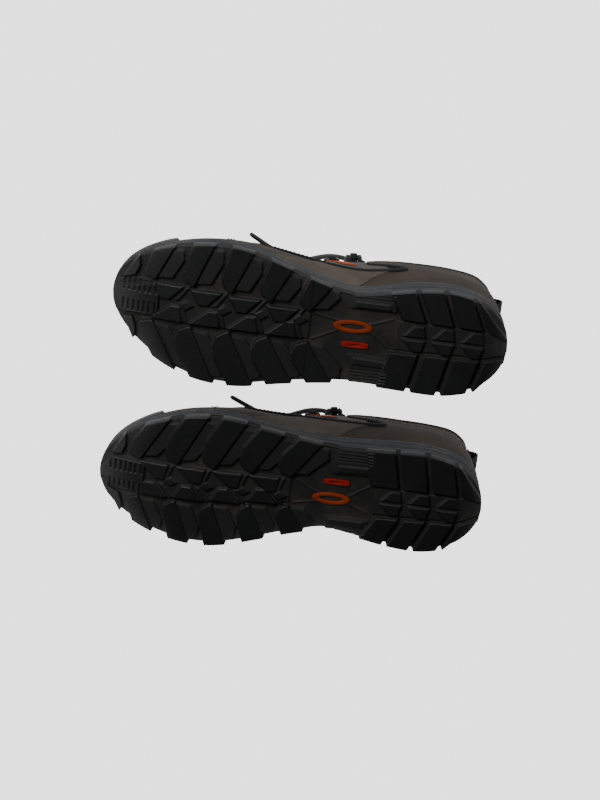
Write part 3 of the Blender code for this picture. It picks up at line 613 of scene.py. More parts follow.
# %% [markdown]
# The tread is what the viewer sees first. On the real sole it is moulded: slanting leaf-shaped
# blocks down both sides, a middle lane of small blocks between two long grooves, nearly square
# blocks under the heel, and a bare waist. Here it is a height worked out at every point of a
# fine grid, with each block given by its distance to a convex outline.
# %% Tread heights
MM = 0.001


def rim(s, sign):
    """The outline's t at distance s from the heel, on the inner (1) or outer (-1) side."""
    plan = edge(np.linspace(0, TOE, 500) * sign)[0]
    return np.interp(s, np.maximum.accumulate(plan[:, 0]), plan[:, 1])


def groove(s, sign):
    """The t of the long groove between the middle lane and the side blocks, in millimetres."""
    if sign > 0:
        return np.interp(s, (0, 15, 90, 130, 150, 208, 285, 300), (6, 13, 15, 14, 13, 20, 23, 17))
    return np.interp(s, (0, 15, 90, 300), (-5, -9, -10, -8))


def across(s, q, sign):
    """A point q of the way from the groove (0) to the rim (1)."""
    line = groove(s, sign) + 1.1 * sign
    return line + (rim(s * MM, sign) / MM - line) * q


def step(d, low=-0.35, high=0.6):
    """0 inside a block and 1 outside it, with a smooth wall between."""
    f = np.clip((d - low) / (high - low), 0, 1)
    return f * f * (3 - 2 * f)


def block(s, t, corners):
    """Distance outside a convex outline: the largest of the distances to its edges."""
    corners = np.asarray(corners, float)
    nearest = np.full(s.shape, -99.0)
    for a, b in zip(corners, np.roll(corners, -1, 0)):
        out = np.array([b[1] - a[1], a[0] - b[0]]) / np.linalg.norm(b - a)
        out *= -1 if (corners.mean(0) - a) @ out > 0 else 1
        nearest = np.maximum(nearest, (s - a[0]) * out[0] + (t - a[1]) * out[1])
    return nearest


LEAF = {
    1: ((0, 0), (5.5, 0.12), (6.8, 0.28), (5.0, 0.58), (0, 1.12), (-17.5, 1.12), (-2.5, 0)),
    -1: ((0, 0), (7.0, 0.10), (8.8, 0.24), (6.8, 0.52), (-7, 1.12), (-26, 1.12), (-2.5, 0)),
}
LEAF_AT = (270.0, 240.5, 211.5, 182.0, 152.0)
HEEL_BLOCKS = {1: ((81, 63), (59, 42), (38, 20), (16, 1)), -1: ((88, 66), (62, 43), (39, 20), (16, 1))}
HEEL_SLANT = {1: 12.0, -1: 7.0}
WAIST_PAD = {1: ((120, 20), (86, 20), (91, 60), (116, 60)), -1: ((118, 17), (84, 18), (89, 60), (113, 60))}
WAIST_BAR = {
    1: ((117, 21.5), (90, 21.5), (90, 26), (117, 26)),
    -1: ((114, 19), (89, 20), (89, 25), (114, 24.5)),
}
WAIST_LINES = (((146, -8), (124, 3)), ((146, 12), (125, 8)), ((88, -9), (104, 2)), ((88, 14), (104, 8)))
LANE_DEPTH, WEB_DEPTH, DEEPEST = 2.6, 4.3, 4.5


def raised_blocks():
    """Each block's corners in millimetres and the height of its face below the web, tallest last."""
    for sign in (1, -1):
        at = lambda s, q: (s, across(s, q, sign))
        for s in LEAF_AT:
            far = s - (30 if sign < 0 else 23)
            yield [at(s - 4, 0.06), at(s - 15, 0.10), at(far, 0.60), at(far + 1, 0.86), at(far + 8, 0.90)], 1.7
        for s in LEAF_AT:
            yield [at(s + a, q) for a, q in LEAF[sign]], 0.0
        yield [at(299, 0.02), at(301, 1.1), at(281, 1.1), at(280, 0.5), at(283, 0.02)], 0.0
        for high, low in HEEL_BLOCKS[sign]:
            slant = HEEL_SLANT[sign]
            low_rim = low + slant * (low > 5)
            yield [at(high, 0), at(high + slant, 1.12), at(low_rim, 1.12), at(low, 0)], 0.0
        for s in (257.0, 228.0, 199.0, 170.0):
            near = groove(s, sign) - 1.0 * sign
            far = groove(s, sign) - (12.5 if sign > 0 else 13.5) * sign
            yield [(s + 12.5, near), (s - 11.5, near), (s - 5 + 4 * sign, far), (s + 2 + 4 * sign, far)], 0.2
            yield [(s - 13.5, near), (s - 16.0, near), (s - 10 + 2 * sign, far), (s - 7 + 2 * sign, far)], 1.2
        for s in (70.0, 48.0, 26.0):
            wedge = ((s + 9, 1.2), (s - 8, 1.2), (s - 6, 10), (s + 1, 10.5))
            yield [(a, 2 + sign * b) for a, b in wedge], 0.4
        yield [(s, sign * t) for s, t in WAIST_PAD[sign]], 2.2
        yield [(s, sign * t) for s, t in WAIST_BAR[sign]], 1.1
    for s in (243.0, 214.5, 186.0, 157.0):
        yield [(s + 5.5, 6.5), (s, 10.5), (s - 5.5, 6.5), (s, 2.5)], 0.8
    yield [(298, 4), (298, 12), (264, 21), (264, -5), (290, -6)], 0.0


def relief(s, t):
    """Depth above the ground face in millimetres: the web, cut down to each block's face in turn."""
    lane = (t < groove(s, 1) - 1.1) & (t > groove(s, -1) + 1.1) & ((s > 149) | (s < 84))
    depth = np.where(lane, LANE_DEPTH, WEB_DEPTH)
    ribs = 0.30 * np.cos(2 * math.pi * (s + 0.55 * np.abs(t)) / 2.3)
    depth = depth - np.where(lane | ((s > 84) & (s < 146)), 0, np.maximum(ribs, 0))
    for start, end in WAIST_LINES:
        run_s, run_t = end[0] - start[0], end[1] - start[1]
        way = ((s - start[0]) * run_s + (t - start[1]) * run_t) / (run_s**2 + run_t**2)
        way = np.clip(way, 0, 1)
        gap = np.hypot(s - start[0] - way * run_s, t - start[1] - way * run_t)
        depth = depth - 0.7 * (1 - step(gap, 0.3, 1.3))
    for corners, face in raised_blocks():
        wall = step(block(s, t, corners))
        depth = depth * wall + np.minimum(face, depth) * (1 - wall)
    sipes = (np.abs(t - 8) > 3.5) & (np.abs(t - 8) < 12.5) & (s > 266) & (s < 294)
    depth = depth + np.where(sipes, 1.3 * (np.cos(2 * math.pi * s / 4.1) > 0.45), 0)
    hatch = (np.abs(t) > 27) & (s > 88) & (s < 117) & (depth < 2.6)
    return depth + np.where(hatch, 0.5 * (np.cos(2 * math.pi * t / 2.6) > 0.3), 0)


print("tread plan:", len(list(raised_blocks())), "raised shapes")

# %% [markdown]
# The height becomes the ground face of a closed piece of rubber: rows across the sole from heel to
# toe, each carried on up both walls and over the top. How deep each point lies goes along with it,
# so that the rubber's finish can be dustier in the low places.
# %% The outsole
ROWS_ALONG, COLUMNS = 470, 168


def outsole(side, boot):
    """The ground face from rim to rim, notched where a recess meets it, then the walls and the top."""
    u = np.linspace(0, 1, ROWS_ALONG)
    s = LENGTH * (0.72 * u + 0.28 * (1 - np.cos(math.pi * u)) / 2)
    low, high = rim(s, -1), rim(s, 1)
    spot = lambda w: (low + high)[:, None] / 2 + w * (high - low)[:, None] / 2
    w = np.linspace(-1, 1, COLUMNS)
    t = spot(w)
    depth = relief(s[:, None] / MM + 0 * t, t / MM)
    notch = 2.4 * MM * np.clip(depth / DEEPEST, 0, 1) * np.clip((np.abs(w) - 0.94) / 0.06, 0, 1) ** 2
    room = np.clip((high - low) / 0.03, 0, 1)[:, None]
    t = t - np.sign(w) * notch * room
    z = spring(s)[:, None] + depth * MM
    face = np.stack([s[:, None] + 0 * t, t, z], -1)
    top = (LUG + WALL + spring(s))[:, None]
    sides = []
    for column, outline in ((-1, high), (0, low)):
        foot = face[:, column]
        share = np.array([0.35, 0.7, 1.0])
        t_wall = foot[:, 1:2] + (outline[:, None] - foot[:, 1:2]) * share
        z_wall = foot[:, 2:3] + (top - foot[:, 2:3]) * np.array([0.3, 0.65, 1.0])
        sides.append(np.stack([s[:, None] + 0 * t_wall, t_wall, z_wall], -1))
    lid_w = np.linspace(0.9, -0.9, 5)
    lid = np.stack([s[:, None] + 0 * lid_w, spot(lid_w), top + 0 * lid_w], -1)
    rows = np.concatenate([face, sides[0], lid, sides[1][:, ::-1]], 1)
    recess = np.zeros(rows.shape[:2])
    recess[:, :COLUMNS] = depth / DEEPEST
    recess[:, COLUMNS:] = 0.35
    piece = surface(f"{boot}_tread", rows, side, RUBBER, wrap=True, values={"recess": recess})
    return stand_for(weld(piece), boot, "outsole", slot="rubber")


for side, boot in BOOTS:
    outsole(side, boot)
print("tread:", ROWS_ALONG, "rows by", COLUMNS, "columns on each sole")

# %% [markdown]
# The midsole is a band of moulded foam between the rubber and the leather. It is a profile,
# going up the outside and back down inside, carried round the whole outline of the sole.
# %% The midsole band
MIDSOLE_PROFILE = (  # inset in mm, share of the height
    (1.0, 0.0), (0.6, 0.08), (0.7, 0.26), (1.5, 0.31), (1.5, 0.35), (0.8, 0.41), (0.9, 0.62),
    (1.3, 0.66), (0.9, 0.71), (1.2, 0.88), (2.0, 0.97), (3.0, 1.0), (14.0, 1.0), (14.0, 0.0), (1.0, 0.0),
)


def midsole(side, boot):
    """Profile rows carried round: each is the outline moved in, at its share of the height."""
    k = np.linspace(0, 2 * TOE, 561)[:-1]
    rows = []
    for inset, share in MIDSOLE_PROFILE:
        plan = edge(k, inset * MM)[0]
        swell = 0.35 * MM * np.sin(plan[:, 0] / 0.011 + share * 5) * (0.1 < share < 0.9)
        plan = edge(k, (inset * MM + swell)[:, None])[0]
        low = LUG + WALL + spring(plan[:, 0])
        rows.append(np.column_stack([plan, low + (feather(plan[:, 0]) - low) * share]))
    piece = surface(f"{boot}_midsole_band", np.array(rows)[::-1], side, FOAM, wrap=True)
    return stand_for(weld(piece), boot, "midsole", slot="foam")


def closed_ring(name, outlines, heights, side, look):
    """A flat ring or plate: an outline for each height, joined round and closed on itself."""
    rows = [np.column_stack([plan, np.full(len(plan), z)]) for plan, z in zip(outlines, heights)]
    return weld(surface(name, np.array(rows), side, look, wrap=True))


def ellipse(centre, radii, count=64):
    turn = np.linspace(0, 2 * math.pi, count + 1)[:-1]
    return np.array(centre) + np.column_stack([np.cos(turn), np.sin(turn)]) * radii


def rounded_bar(centre, half_long, half_wide, count=48):
    """A stadium-like outline: an ellipse raised to the fourth power."""
    turn = np.linspace(0, 2 * math.pi, count + 1)[:-1]
    power = lambda x: np.sign(x) * np.abs(x) ** 0.5
    shape = np.column_stack([power(np.cos(turn)) * half_long, power(np.sin(turn)) * half_wide])
    return np.array(centre) + shape


def waist_marks(side, boot):
    """A plain orange ring and a plain red bar on the bare waist."""
    centre, low, high = (0.117, 0.005), 0.0031, 0.0042
    sizes = [(9.0, 1.9), (9.3, 2.2), (14.6, 4.9), (15.0, 5.2), (15.0, 5.2), (9.0, 1.9), (9.0, 1.9)]
    heights = [low + 0.0003, low, low, low + 0.0003, high, high, low + 0.0003]
    outlines = [ellipse(centre, np.array(size) * MM) for size in sizes]
    ring = closed_ring(f"{boot}_waist_ring", outlines, heights, side, ORANGE)
    stand_for(ring, boot, "sole_ring", slot="orange")
    centre = (0.114, -0.0095)
    halves = [(0.2, 0.1), (9.8, 2.0), (10.3, 2.4), (10.5, 2.5), (10.5, 2.5), (0.2, 0.1), (0.2, 0.1)]
    heights = [low, low, low + 0.0001, low + 0.0004, high, high, low]
    outlines = [rounded_bar(centre, a * MM, b * MM) for a, b in halves]
    stand_for(closed_ring(f"{boot}_waist_bar", outlines, heights, side, RED), boot, "sole_bar", slot="red")


for side, boot in BOOTS:
    midsole(side, boot)
    waist_marks(side, boot)
print("midsole band and waist marks made")

# %% [markdown]
# The upper is leather drawn over the last. The side panels and the vamp are the skin itself,
# with a real thickness; flex creases across the vamp are added along the skin's normal.
# %% Upper panels
def creases(k, v):
    """Shallow folds across the forefoot: a few narrow valleys in k, fading down the wall."""
    k = np.minimum(np.abs(k), 2 * TOE - np.abs(k))
    valleys = sum(np.exp(-(((k - at) / 0.13) ** 2)) for at in (10.7, 11.35, 12.0))
    return -0.7 * MM * valleys * np.clip((v - 0.35) / 0.4, 0, 1)


def panel(name, k, v, side, look, thick, offset=0.0, fold=True):
    k, v = np.asarray(k)[:, None], np.asarray(v)[None, :]
    """A smooth grid of the skin; a folded panel takes the flex creases as well."""
    rows = skin(k, v, offset + (creases(k + 0 * v, v + 0 * k) if fold else 0 * (k + v)))
    return surface(name, rows, side, look, thick=thick)


def upper(side, boot):
    up = np.linspace(0, 1, 64)
    for sign, word in ((1, "medial"), (-1, "lateral")):
        k = np.sort(np.linspace(0.02, 10.9, 200) * sign)
        piece = panel(f"{boot}_side_panel_{word}", k, up, side, NUBUCK, SKIN)
        stand_for(piece, boot, f"quarter_{word}", slot="nubuck")
    k = np.linspace(10.88, 2 * TOE - 10.88, 230)
    piece = weld(panel(f"{boot}_vamp_panel", k, up, side, NUBUCK, SKIN), 4e-5)
    stand_for(piece, boot, "vamp", slot="nubuck")
    inside = -SKIN - COUNTER - 2 * GAP
    k = np.linspace(-10.9, 10.9, 240)
    piece = panel(f"{boot}_side_lining", k, np.linspace(0.02, 0.99, 40), side, KNIT, LINING, inside, False)
    stand_for(piece, boot, "quarter_lining", slot="lining")
    k = np.linspace(10.92, 2 * TOE - 10.92, 150)
    piece = panel(f"{boot}_toe_lining", k, np.linspace(0.02, 1, 40), side, KNIT, LINING, inside - GAP, False)
    stand_for(piece, boot, "vamp_lining", slot="lining")
    piece = panel(f"{boot}_heel_cup", np.linspace(-4.2, 4.2, 90), np.linspace(0.03, 0.52, 24), side, BOARD,
                  COUNTER, -SKIN - GAP, False)
    stand_for(piece, boot, "heel_counter", slot="board")


for side, boot in BOOTS:
    upper(side, boot)
print("upper panels:", len(PIECES), "pieces so far")

# %% [markdown]
# Pieces sewn on top, such as the pale lower panel, the toe rubber, the mesh window and the
# webbing, are patches of the same skin raised off it, with their edges rolled down. Each patch
# is given by a few (k, v) points on a coarse grid, filled in smoothly.
# %% Laid-on pieces
def sampled(rows, count):
    """Rows spread evenly, by number, along the smooth curve through the given ones."""
    x = np.linspace(0, len(rows) - 1, count)
    i = np.minimum(x.astype(int), len(rows) - 2)
    f = (x - i).reshape(-1, *[1] * (rows.ndim - 1))
    padded = np.concatenate([2 * rows[:1] - rows[1:2], rows, 2 * rows[-1:] - rows[-2:-1]])
    return spline(*(padded[i + ahead] for ahead in range(4)), f)


def refine(grid, m, n):
    """Fills a coarse grid of points smoothly: down the columns, then across the rows."""
    return sampled(sampled(grid, m).swapaxes(0, 1), n).swapaxes(0, 1)


def rolled(count):
    """Parameters from 0 to 1 with close lines at both ends, for a rolled edge."""
    start = np.array([0, 0.006, 0.02, 0.045])
    return np.concatenate([start, np.linspace(0.08, 0.92, count - 8), 1 - start[::-1]])


def laid_on(name, corners, rise, side, look, m=60, n=24, base=0.0):
    """A raised patch: its height is a quarter circle at the border and level inside."""
    kv = refine(np.asarray(corners, float), 200, 80)
    a, b = rolled(m), rolled(n)
    pick = kv[np.round(a * 199).astype(int)][:, np.round(b * 79).astype(int)]
    flat = skin(pick[..., 0], pick[..., 1])
    size = spread(flat)
    inward = np.minimum(np.minimum(size[..., 0], size[-1, -1, 0] - size[..., 0]),
                        np.minimum(size[..., 1], size[-1, -1, 1] - size[..., 1]))
    edge_share = np.clip(inward / max(rise, 0.0007), 0, 1)
    lift = base + rise * np.sqrt(1 - (1 - edge_share) ** 2)
    rows = skin(pick[..., 0], pick[..., 1], lift)
    if pick[-1, 0, 0] < pick[0, 0, 0]:
        rows = rows[::-1]
    return surface(name, rows, side, look, thick=rise * 0.7)


def ribbon(name, kv, half_width, rise, side, look, base=0.0, count=160):
    """A rounded band along a path on the skin: its height is rise times one less a sixth power."""
    path = resample_path(kv, count)
    centre = skin(path[:, 0], path[:, 1])
    normal = unit(skin(path[:, 0], path[:, 1], 0.001) - centre)
    run = unit(np.gradient(centre, axis=0))
    aside = np.cross(normal, run)
    taper = np.sqrt(np.clip(1 - (np.abs(np.linspace(-1, 1, count)) ** 24), 0, 1))[:, None]
    angle = np.linspace(-1, 1, 11)
    reach = angle * half_width * taper
    height = base + rise * (1 - np.abs(angle) ** 6)
    height = height + 0 * reach
    rows = centre[:, None] + aside[:, None] * reach[..., None] + normal[:, None] * height[..., None]
    return surface(name, rows[:, ::-1], side, look, thick=rise * 0.6)


def resample_path(points, count):
    """Points spread evenly, by length, along the smooth curve through the given ones."""
    fine = sampled(np.asarray(points, float), max(len(points) * 24, 200))
    run = np.concatenate([[0], np.linalg.norm(np.diff(fine, axis=0), axis=1).cumsum()])
    at = np.linspace(0, run[-1], count)
    return np.column_stack([np.interp(at, run, column) for column in fine.T])


TRIM_PATH = ((12.3, 0.46), (11.2, 0.445), (10.0, 0.43), (8.6, 0.412), (7.4, 0.40), (6.4, 0.395),
             (5.75, 0.41), (5.5, 0.46), (5.65, 0.53), (6.2, 0.585), (6.9, 0.615))


def sides(side, boot):
    for sign, word in ((1, "medial"), (-1, "lateral")):
        at = lambda *rows: np.array(rows) * [sign, 1]
        window = [at((6.0, 0.45), (6.1, 0.53), (6.4, 0.62)), at((7.4, 0.46), (7.4, 0.61), (7.4, 0.76)),
                  at((8.7, 0.48), (8.7, 0.62), (8.7, 0.76)), at((9.9, 0.50), (9.9, 0.62), (9.9, 0.73))]
        piece = laid_on(f"{boot}_mesh_window_{word}", window, 0.0008, side, MESH)
        stand_for(piece, boot, f"side_window_{word}", slot="mesh")
        piece = ribbon(f"{boot}_webbing_line_{word}", at(*TRIM_PATH), 0.0025, 0.0016, side, WEBBING, 0.0002)
        stand_for(piece, boot, f"side_trim_{word}", slot="webbing")
        stripe = [at((k, v), (k + 0.45, v)) for k, v in ((7.2, 0.51), (7.5, 0.60), (7.8, 0.69))]
        piece = laid_on(f"{boot}_slant_stripe_{word}", stripe, 0.0006, side, ORANGE, 24, 16, 0.0009)
        stand_for(piece, boot, f"side_stripe_{word}", slot="orange")
        low = [at((6.9, 0.03), (6.5, 0.2), (6.0, 0.375)), at((8.1, 0.03), (7.6, 0.2), (7.0, 0.385)),
               at((9.6, 0.03), (8.9, 0.2), (8.3, 0.395))]
        piece = laid_on(f"{boot}_low_panel_{word}", low, 0.0008, side, TAN)
        stand_for(piece, boot, slot="nubuck")
        strap = [at((k, 0.86), (k, 0.985)) for k in (7.05, 8.4, 10.7)]
        piece = laid_on(f"{boot}_lace_strap_{word}", strap, 0.0014, side, WEBBING, 70, 20, 0.0002)
        stand_for(piece, boot, f"eyestay_{word}", slot="webbing")
    k = np.linspace(12.7, 2 * TOE - 12.7, 9)
    near = np.minimum(k, 2 * TOE - k)
    top = np.interp(near, (12.7, 14.5, TOE), (0.16, 0.36, 0.54))
    cap = [[(a, 0.02), (a, 0.02 + (b - 0.02) * 0.5), (a, b)] for a, b in zip(k, top)]
    piece = laid_on(f"{boot}_toe_rubber", cap, 0.0020, side, TOE_RUBBER, 150, 30, 0.0003)
    stand_for(piece, boot, "toe_cap", slot="rubber")
    binding = [(k, 0.992) for k in np.linspace(-7.0, 7.0, 29)]
    piece = ribbon(f"{boot}_collar_binding", binding, 0.0018, 0.0009, side, WEBBING, 0.0, 320)
    stand_for(piece, boot, slot="webbing")
    strip = [[(a, v) for v in (0.05, 0.25, 0.48)] for a in (-0.62, 0.0, 0.62)]
    stand_for(laid_on(f"{boot}_back_strip", strip, 0.0010, side, TAN, 24, 50), boot, slot="nubuck")


for side, boot in BOOTS:
    sides(side, boot)
print("laid-on pieces made:", len(PIECES), "pieces so far")

# %% [markdown]
# The laces run where the model's laces run, so their route is worked out on the same flat-sided
# guide surface that the model uses: the skin's points at a few ribs and rungs, joined straight.
# %% Guide surface for the lacing
RIBS = (0.0, 1.0, 2.0, 3.0, 4.0, 5.0, 6.0, 6.7, 7.4, 8.2, 9.1,
        10.0, 10.6, 11.0, 12.0, 13.0, 14.0, 15.0, 16.0, 17.0)
RUNGS = np.array((0.0, 0.16, 0.34, 0.52, 0.7, 0.86, 1.0))
LOOP_RIBS = np.array([-k for k in RIBS[:0:-1]] + list(RIBS))
GUIDE = skin(LOOP_RIBS[:, None], RUNGS[None, :])
GUIDE_OUT = (skin(LOOP_RIBS[:, None], RUNGS[None, :], 0.001) - GUIDE) / 0.001


def guide(k, v, offset=0.0):
    """The point at (k, v) on the guide, each cell of it a blend of its four corners."""
    k, v = np.broadcast_arrays(np.asarray(k, float), np.asarray(v, float))
    layer = GUIDE + GUIDE_OUT * offset
    i = np.clip(np.searchsorted(LOOP_RIBS, k, side="right") - 1, 0, len(LOOP_RIBS) - 2)
    j = np.clip(np.searchsorted(RUNGS, v, side="right") - 1, 0, len(RUNGS) - 2)
    f = ((k - LOOP_RIBS[i]) / (LOOP_RIBS[i + 1] - LOOP_RIBS[i]))[..., None]
    g = ((v - RUNGS[j]) / (RUNGS[j + 1] - RUNGS[j]))[..., None]
    low = layer[i, j] * (1 - f) + layer[i + 1, j] * f
    high = layer[i, j + 1] * (1 - f) + layer[i + 1, j + 1] * f
    return low * (1 - g) + high * g


def throat(k, w, offset=0.0):
    """Over the lacing gap at station k: a Bezier from the outer edge (w -1) to the inner one (w 1)."""
    a, a_back = guide(-k, 1.0, offset), guide(-k, 0.93, offset)
    b, b_back = guide(k, 1.0, offset), guide(k, 0.93, offset)
    reach = 0.36 * np.linalg.norm(b - a)
    p1, p2 = a + unit(a - a_back) * reach, b + unit(b - b_back) * reach
    f = (np.atleast_1d(w)[:, None] + 1) / 2
    g = 1 - f
    return g**3 * a + 3 * g * g * f * p1 + 3 * g * f * f * p2 + f**3 * b


def tube(name, path, radius, side, look, around=12, closed=False):
    """A ring of points at every point of the path, turned as little as possible from the one before."""
    run = unit(np.gradient(path, axis=0))
    aside = [unit(np.cross(run[0], [0.3, 0.2, 1.0]))]
    for direction in run[1:]:
        aside.append(unit(aside[-1] - direction * (aside[-1] @ direction)))
    aside = np.array(aside)
    over = np.cross(run, aside)
    angle = np.linspace(0, 2 * math.pi, around + 1)[:-1]
    radius = np.broadcast_to(radius, len(path))[:, None, None]
    ring = np.cos(angle)[:, None] * aside[:, None] + np.sin(angle)[:, None] * over[:, None]
    return surface(name, path[:, None] + ring * radius, side, look, wrap=True, ends=not closed)


def even(points, spacing=0.0011):
    """The smooth curve through the points, with its own points this far apart."""
    return resample_path(points, int(run_length(resample_path(points, 200)) / spacing) + 2)


def run_length(path):
    return float(np.linalg.norm(np.diff(path, axis=0), axis=1).sum())


print("guide:", GUIDE.shape[0], "ribs by", GUIDE.shape[1], "rungs")

# %% [markdown]
# The tongue and the collar are soft: cloth round foam. Each starts as a thin closed shape, is
# remeshed evenly, and is blown up a little by the cloth solver, which rounds it as stuffing does.
# Movement is capped, so that each still fits between the leather and the foot.
# %% Soft pads
TONGUE_THICK, COLLAR_THICK, PAD_STEPS = 0.0045, 0.0044, 20
INSIDE = -SKIN - COUNTER - LINING


def evaluated(obj):
    graph = bpy.context.evaluated_depsgraph_get()
    graph.update()
    return bpy.data.meshes.new_from_object(obj.evaluated_get(graph))


def points_of(mesh):
    flat = np.empty(len(mesh.vertices) * 3)
    mesh.vertices.foreach_get("co", flat)
    return flat.reshape(-1, 3)


def stuffed(obj, cap, voxel=0.0024):
    """Remeshes obj evenly, inflates it a little and keeps each point within cap of its start."""
    remesh = obj.modifiers.new("remesh", "REMESH")
    remesh.mode, remesh.voxel_size = "VOXEL", voxel
    mesh = evaluated(obj)
    obj.modifiers.clear()
    mesh.materials.clear()
    mesh.materials.append(obj.data.materials[0])
    obj.data = mesh
    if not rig.quick():
        cloth = obj.modifiers.new("cloth", "CLOTH")
        cloth.settings.use_pressure = True
        cloth.settings.uniform_pressure_force = 4
        cloth.settings.effector_weights.gravity = 0
        cloth.point_cache.frame_start, cloth.point_cache.frame_end = 1, PAD_STEPS
        before = points_of(mesh)
        for number in range(1, PAD_STEPS + 1):
            bpy.context.scene.frame_set(number)
        moved = points_of(evaluated(obj)) - before
        obj.modifiers.clear()
        length = np.linalg.norm(moved, axis=1, keepdims=True)
        moved *= np.minimum(1, cap / np.maximum(length, 1e-9))
        mesh.vertices.foreach_set("co", (before + moved).reshape(-1))
        bpy.context.scene.frame_set(1)
    smooth = obj.modifiers.new("even", "SMOOTH")
    smooth.factor, smooth.iterations = 0.5, 4
    rounder = obj.modifiers.new("rounder", "SUBSURF")
    rounder.levels = rounder.render_levels = 1
    mesh = evaluated(obj)
    obj.modifiers.clear()
    obj.data = mesh
    mesh.polygons.foreach_set("use_smooth", [True] * len(mesh.polygons))
    return obj


def mirrored(obj, name):
    """The right boot's copy: every point's y is turned over, and the faces with it."""
    points = points_of(obj.data) * [1, -1, 1]
    faces = [list(face.vertices)[::-1] for face in obj.data.polygons]
    mesh = bpy.data.meshes.new(name)
    mesh.from_pydata(points.tolist(), [], faces)
    return finish_piece(name, mesh, obj.data.materials[0])


def tongue_grid():
    """Beside the gap the tongue follows the lining; between, it bridges the gap; on top it narrows."""
    offset = INSIDE - 5 * GAP
    rows = []
    for k in (7.1, 7.4, 8.2, 9.1, 10.0, 10.6, 10.7):
        left = guide(-k, np.array([0.82, 0.86, 1.0]), offset)
        right = guide(k, np.array([1.0, 0.86, 0.82]), offset)
        rows.append(np.vstack([left, throat(k, [-0.5, 0, 0.5], offset), right]))
    top = rows[0]
    middle = top.mean(axis=0)
    for run, lift, share in ((-0.007, 0.007, 0.88), (-0.013, 0.015, 0.76), (-0.015, 0.019, 0.53)):
        rows.insert(0, middle + (top - middle) * [1, share, share] + [run, 0, lift])
    return refine(np.array(rows)[:, ::-1], 60, 40)


tongue = surface("left_padded_tongue", tongue_grid(), 1, KNIT, thick=TONGUE_THICK)
stuffed(tongue, 0.0012)
k, v = np.linspace(-6.0, 6.0, 150)[:, None], np.linspace(0.70, 0.985, 16)[None, :]
collar = surface("left_padded_collar", skin(k, v, INSIDE - 4 * GAP), 1, KNIT, thick=COLLAR_THICK)
stuffed(collar, 0.0011, 0.0022)
for pad, node_name in ((tongue, "tongue"), (collar, "collar_pad")):
    twin = mirrored(pad, pad.name.replace("left", "right"))
    for piece, boot in ((pad, "left"), (twin, "right")):
        body = "tongue" if node_name == "tongue" else "boot"
        stand_for(piece, boot, node_name, slot="lining", body=body)
        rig.padded(piece, fill=0.6)
print("pads:", len(tongue.data.polygons), "and", len(collar.data.polygons), "faces")


# %% [markdown]
# Under the foot lies a loose, cloth-topped footbed. The board and the shank below it are out of
# sight, so they keep the model's own shape and only take a finish.
# %% The footbed and the board under it
BOARD_THICK, FULL_INSET = 0.0022, 0.0165
FOOTBED_RINGS = (  # inset, and height above the board
    (0.0365, 0.0), (0.012, 0.0), (0.0105, 0.0), (0.0100, 0.0008), (0.0100, 0.0036),
    (0.0104, 0.0043), (0.0112, 0.0045), (0.0145, 0.0042), (0.0365, 0.0041),
)


def footbed(side, boot):
    """Rings with the sole's outline, from the middle of the underside, out, and back over the top."""
    k = np.linspace(0, 2 * TOE, 241)[:-1]
    rows = []
    for inset, lift in FOOTBED_RINGS:
        plan = edge(k, min(inset, FULL_INSET))[0]
        sway = np.interp(plan[:, 0], (0, 0.12, 0.22, 0.3), (0, -0.002, 0.002, 0.008))
        middle = np.column_stack([np.clip(plan[:, 0], 0.03, 0.27), sway])
        plan = plan + (middle - plan) * np.clip((inset - FULL_INSET) / 0.02, 0, 1)
        rows.append(np.column_stack([plan, feather(plan[:, 0]) + BOARD_THICK + 2 * GAP + lift]))
    piece = weld(surface(f"{boot}_soft_footbed", np.array(rows), side, INSOLE, wrap=True), 2e-4)
    stand_for(piece, boot, "footbed", slot="footbed", body="footbed")


for side, boot in BOOTS:
    footbed(side, boot)
for name, node_object in frame["nodes"].items():
    if name.endswith(("lasting_board", "shank")):
        node_object.data.materials.clear()
        node_object.data.materials.append(BOARD)
print("footbeds made")

# %% [markdown]
# The lace is one round braided cord. It criss-crosses through webbing loops, is tied in a bow,
# and its two ends hang free over the forefoot, each with a plastic tip.
# %% Lacing
LACE_RADIUS, OVERLAY, OVER = 0.0020, 0.0012, 0.0007
LOOP_WALL, LOOP_PLAY, LOOP_WIDTH, LOOP_V = 0.0008, 0.0009, 0.0050, 0.965
EYELETS = (7.4, 8.05, 8.7, 9.35, 10.03)
CROSSING_LIFT, AGLET = 0.0024, 0.018
LOOP_CENTRE = OVER + OVERLAY + LOOP_WALL * 0.5 + LOOP_PLAY + LACE_RADIUS
STRAIGHT = LOOP_WIDTH / 2 + 0.0008
TURN = STRAIGHT + 0.0018


def beside(k, side, distance):
    """Forward of eyelet k along the throat's edge, at the lace's height."""
    spot = lambda at: guide(side * at, LOOP_V, LOOP_CENTRE)
    ahead = spot(k + 0.05) - spot(k - 0.05)
    ahead[1] *= 0.2
    return spot(k) + unit(ahead) * distance


def lace_route():
    """From the knot down to the toe and back: over at one crossing and under at the next."""
    last = len(EYELETS) - 1
    down = [(i, 1 if i % 2 else -1, 1) for i in range(last + 1)]
    points = [KNOT_AT]
    before = None
    for i, side, way in down + [(i, -side, -1) for i, side, _ in reversed(down)]:
        k = EYELETS[i]
        if before == i:
            points += [throat(k + 0.42, [w * side], LOOP_CENTRE * 1.1)[0] for w in (-0.7, 0.0, 0.7)]
        elif before is not None:
            lift = LOOP_CENTRE * 0.6 + way * CROSSING_LIFT
            points.append(throat((EYELETS[before] + k) / 2, [0.0], lift)[0])
        for distance in (-TURN, -STRAIGHT, STRAIGHT, TURN):
            spot = beside(k, side, distance * way)
            if abs(distance) == TURN:
                inward = throat(k, [0.0], LOOP_CENTRE)[0] - spot
                spot = spot + unit(inward) * 0.0008
            points.append(spot)
        before = i
    return points + [KNOT_AT]


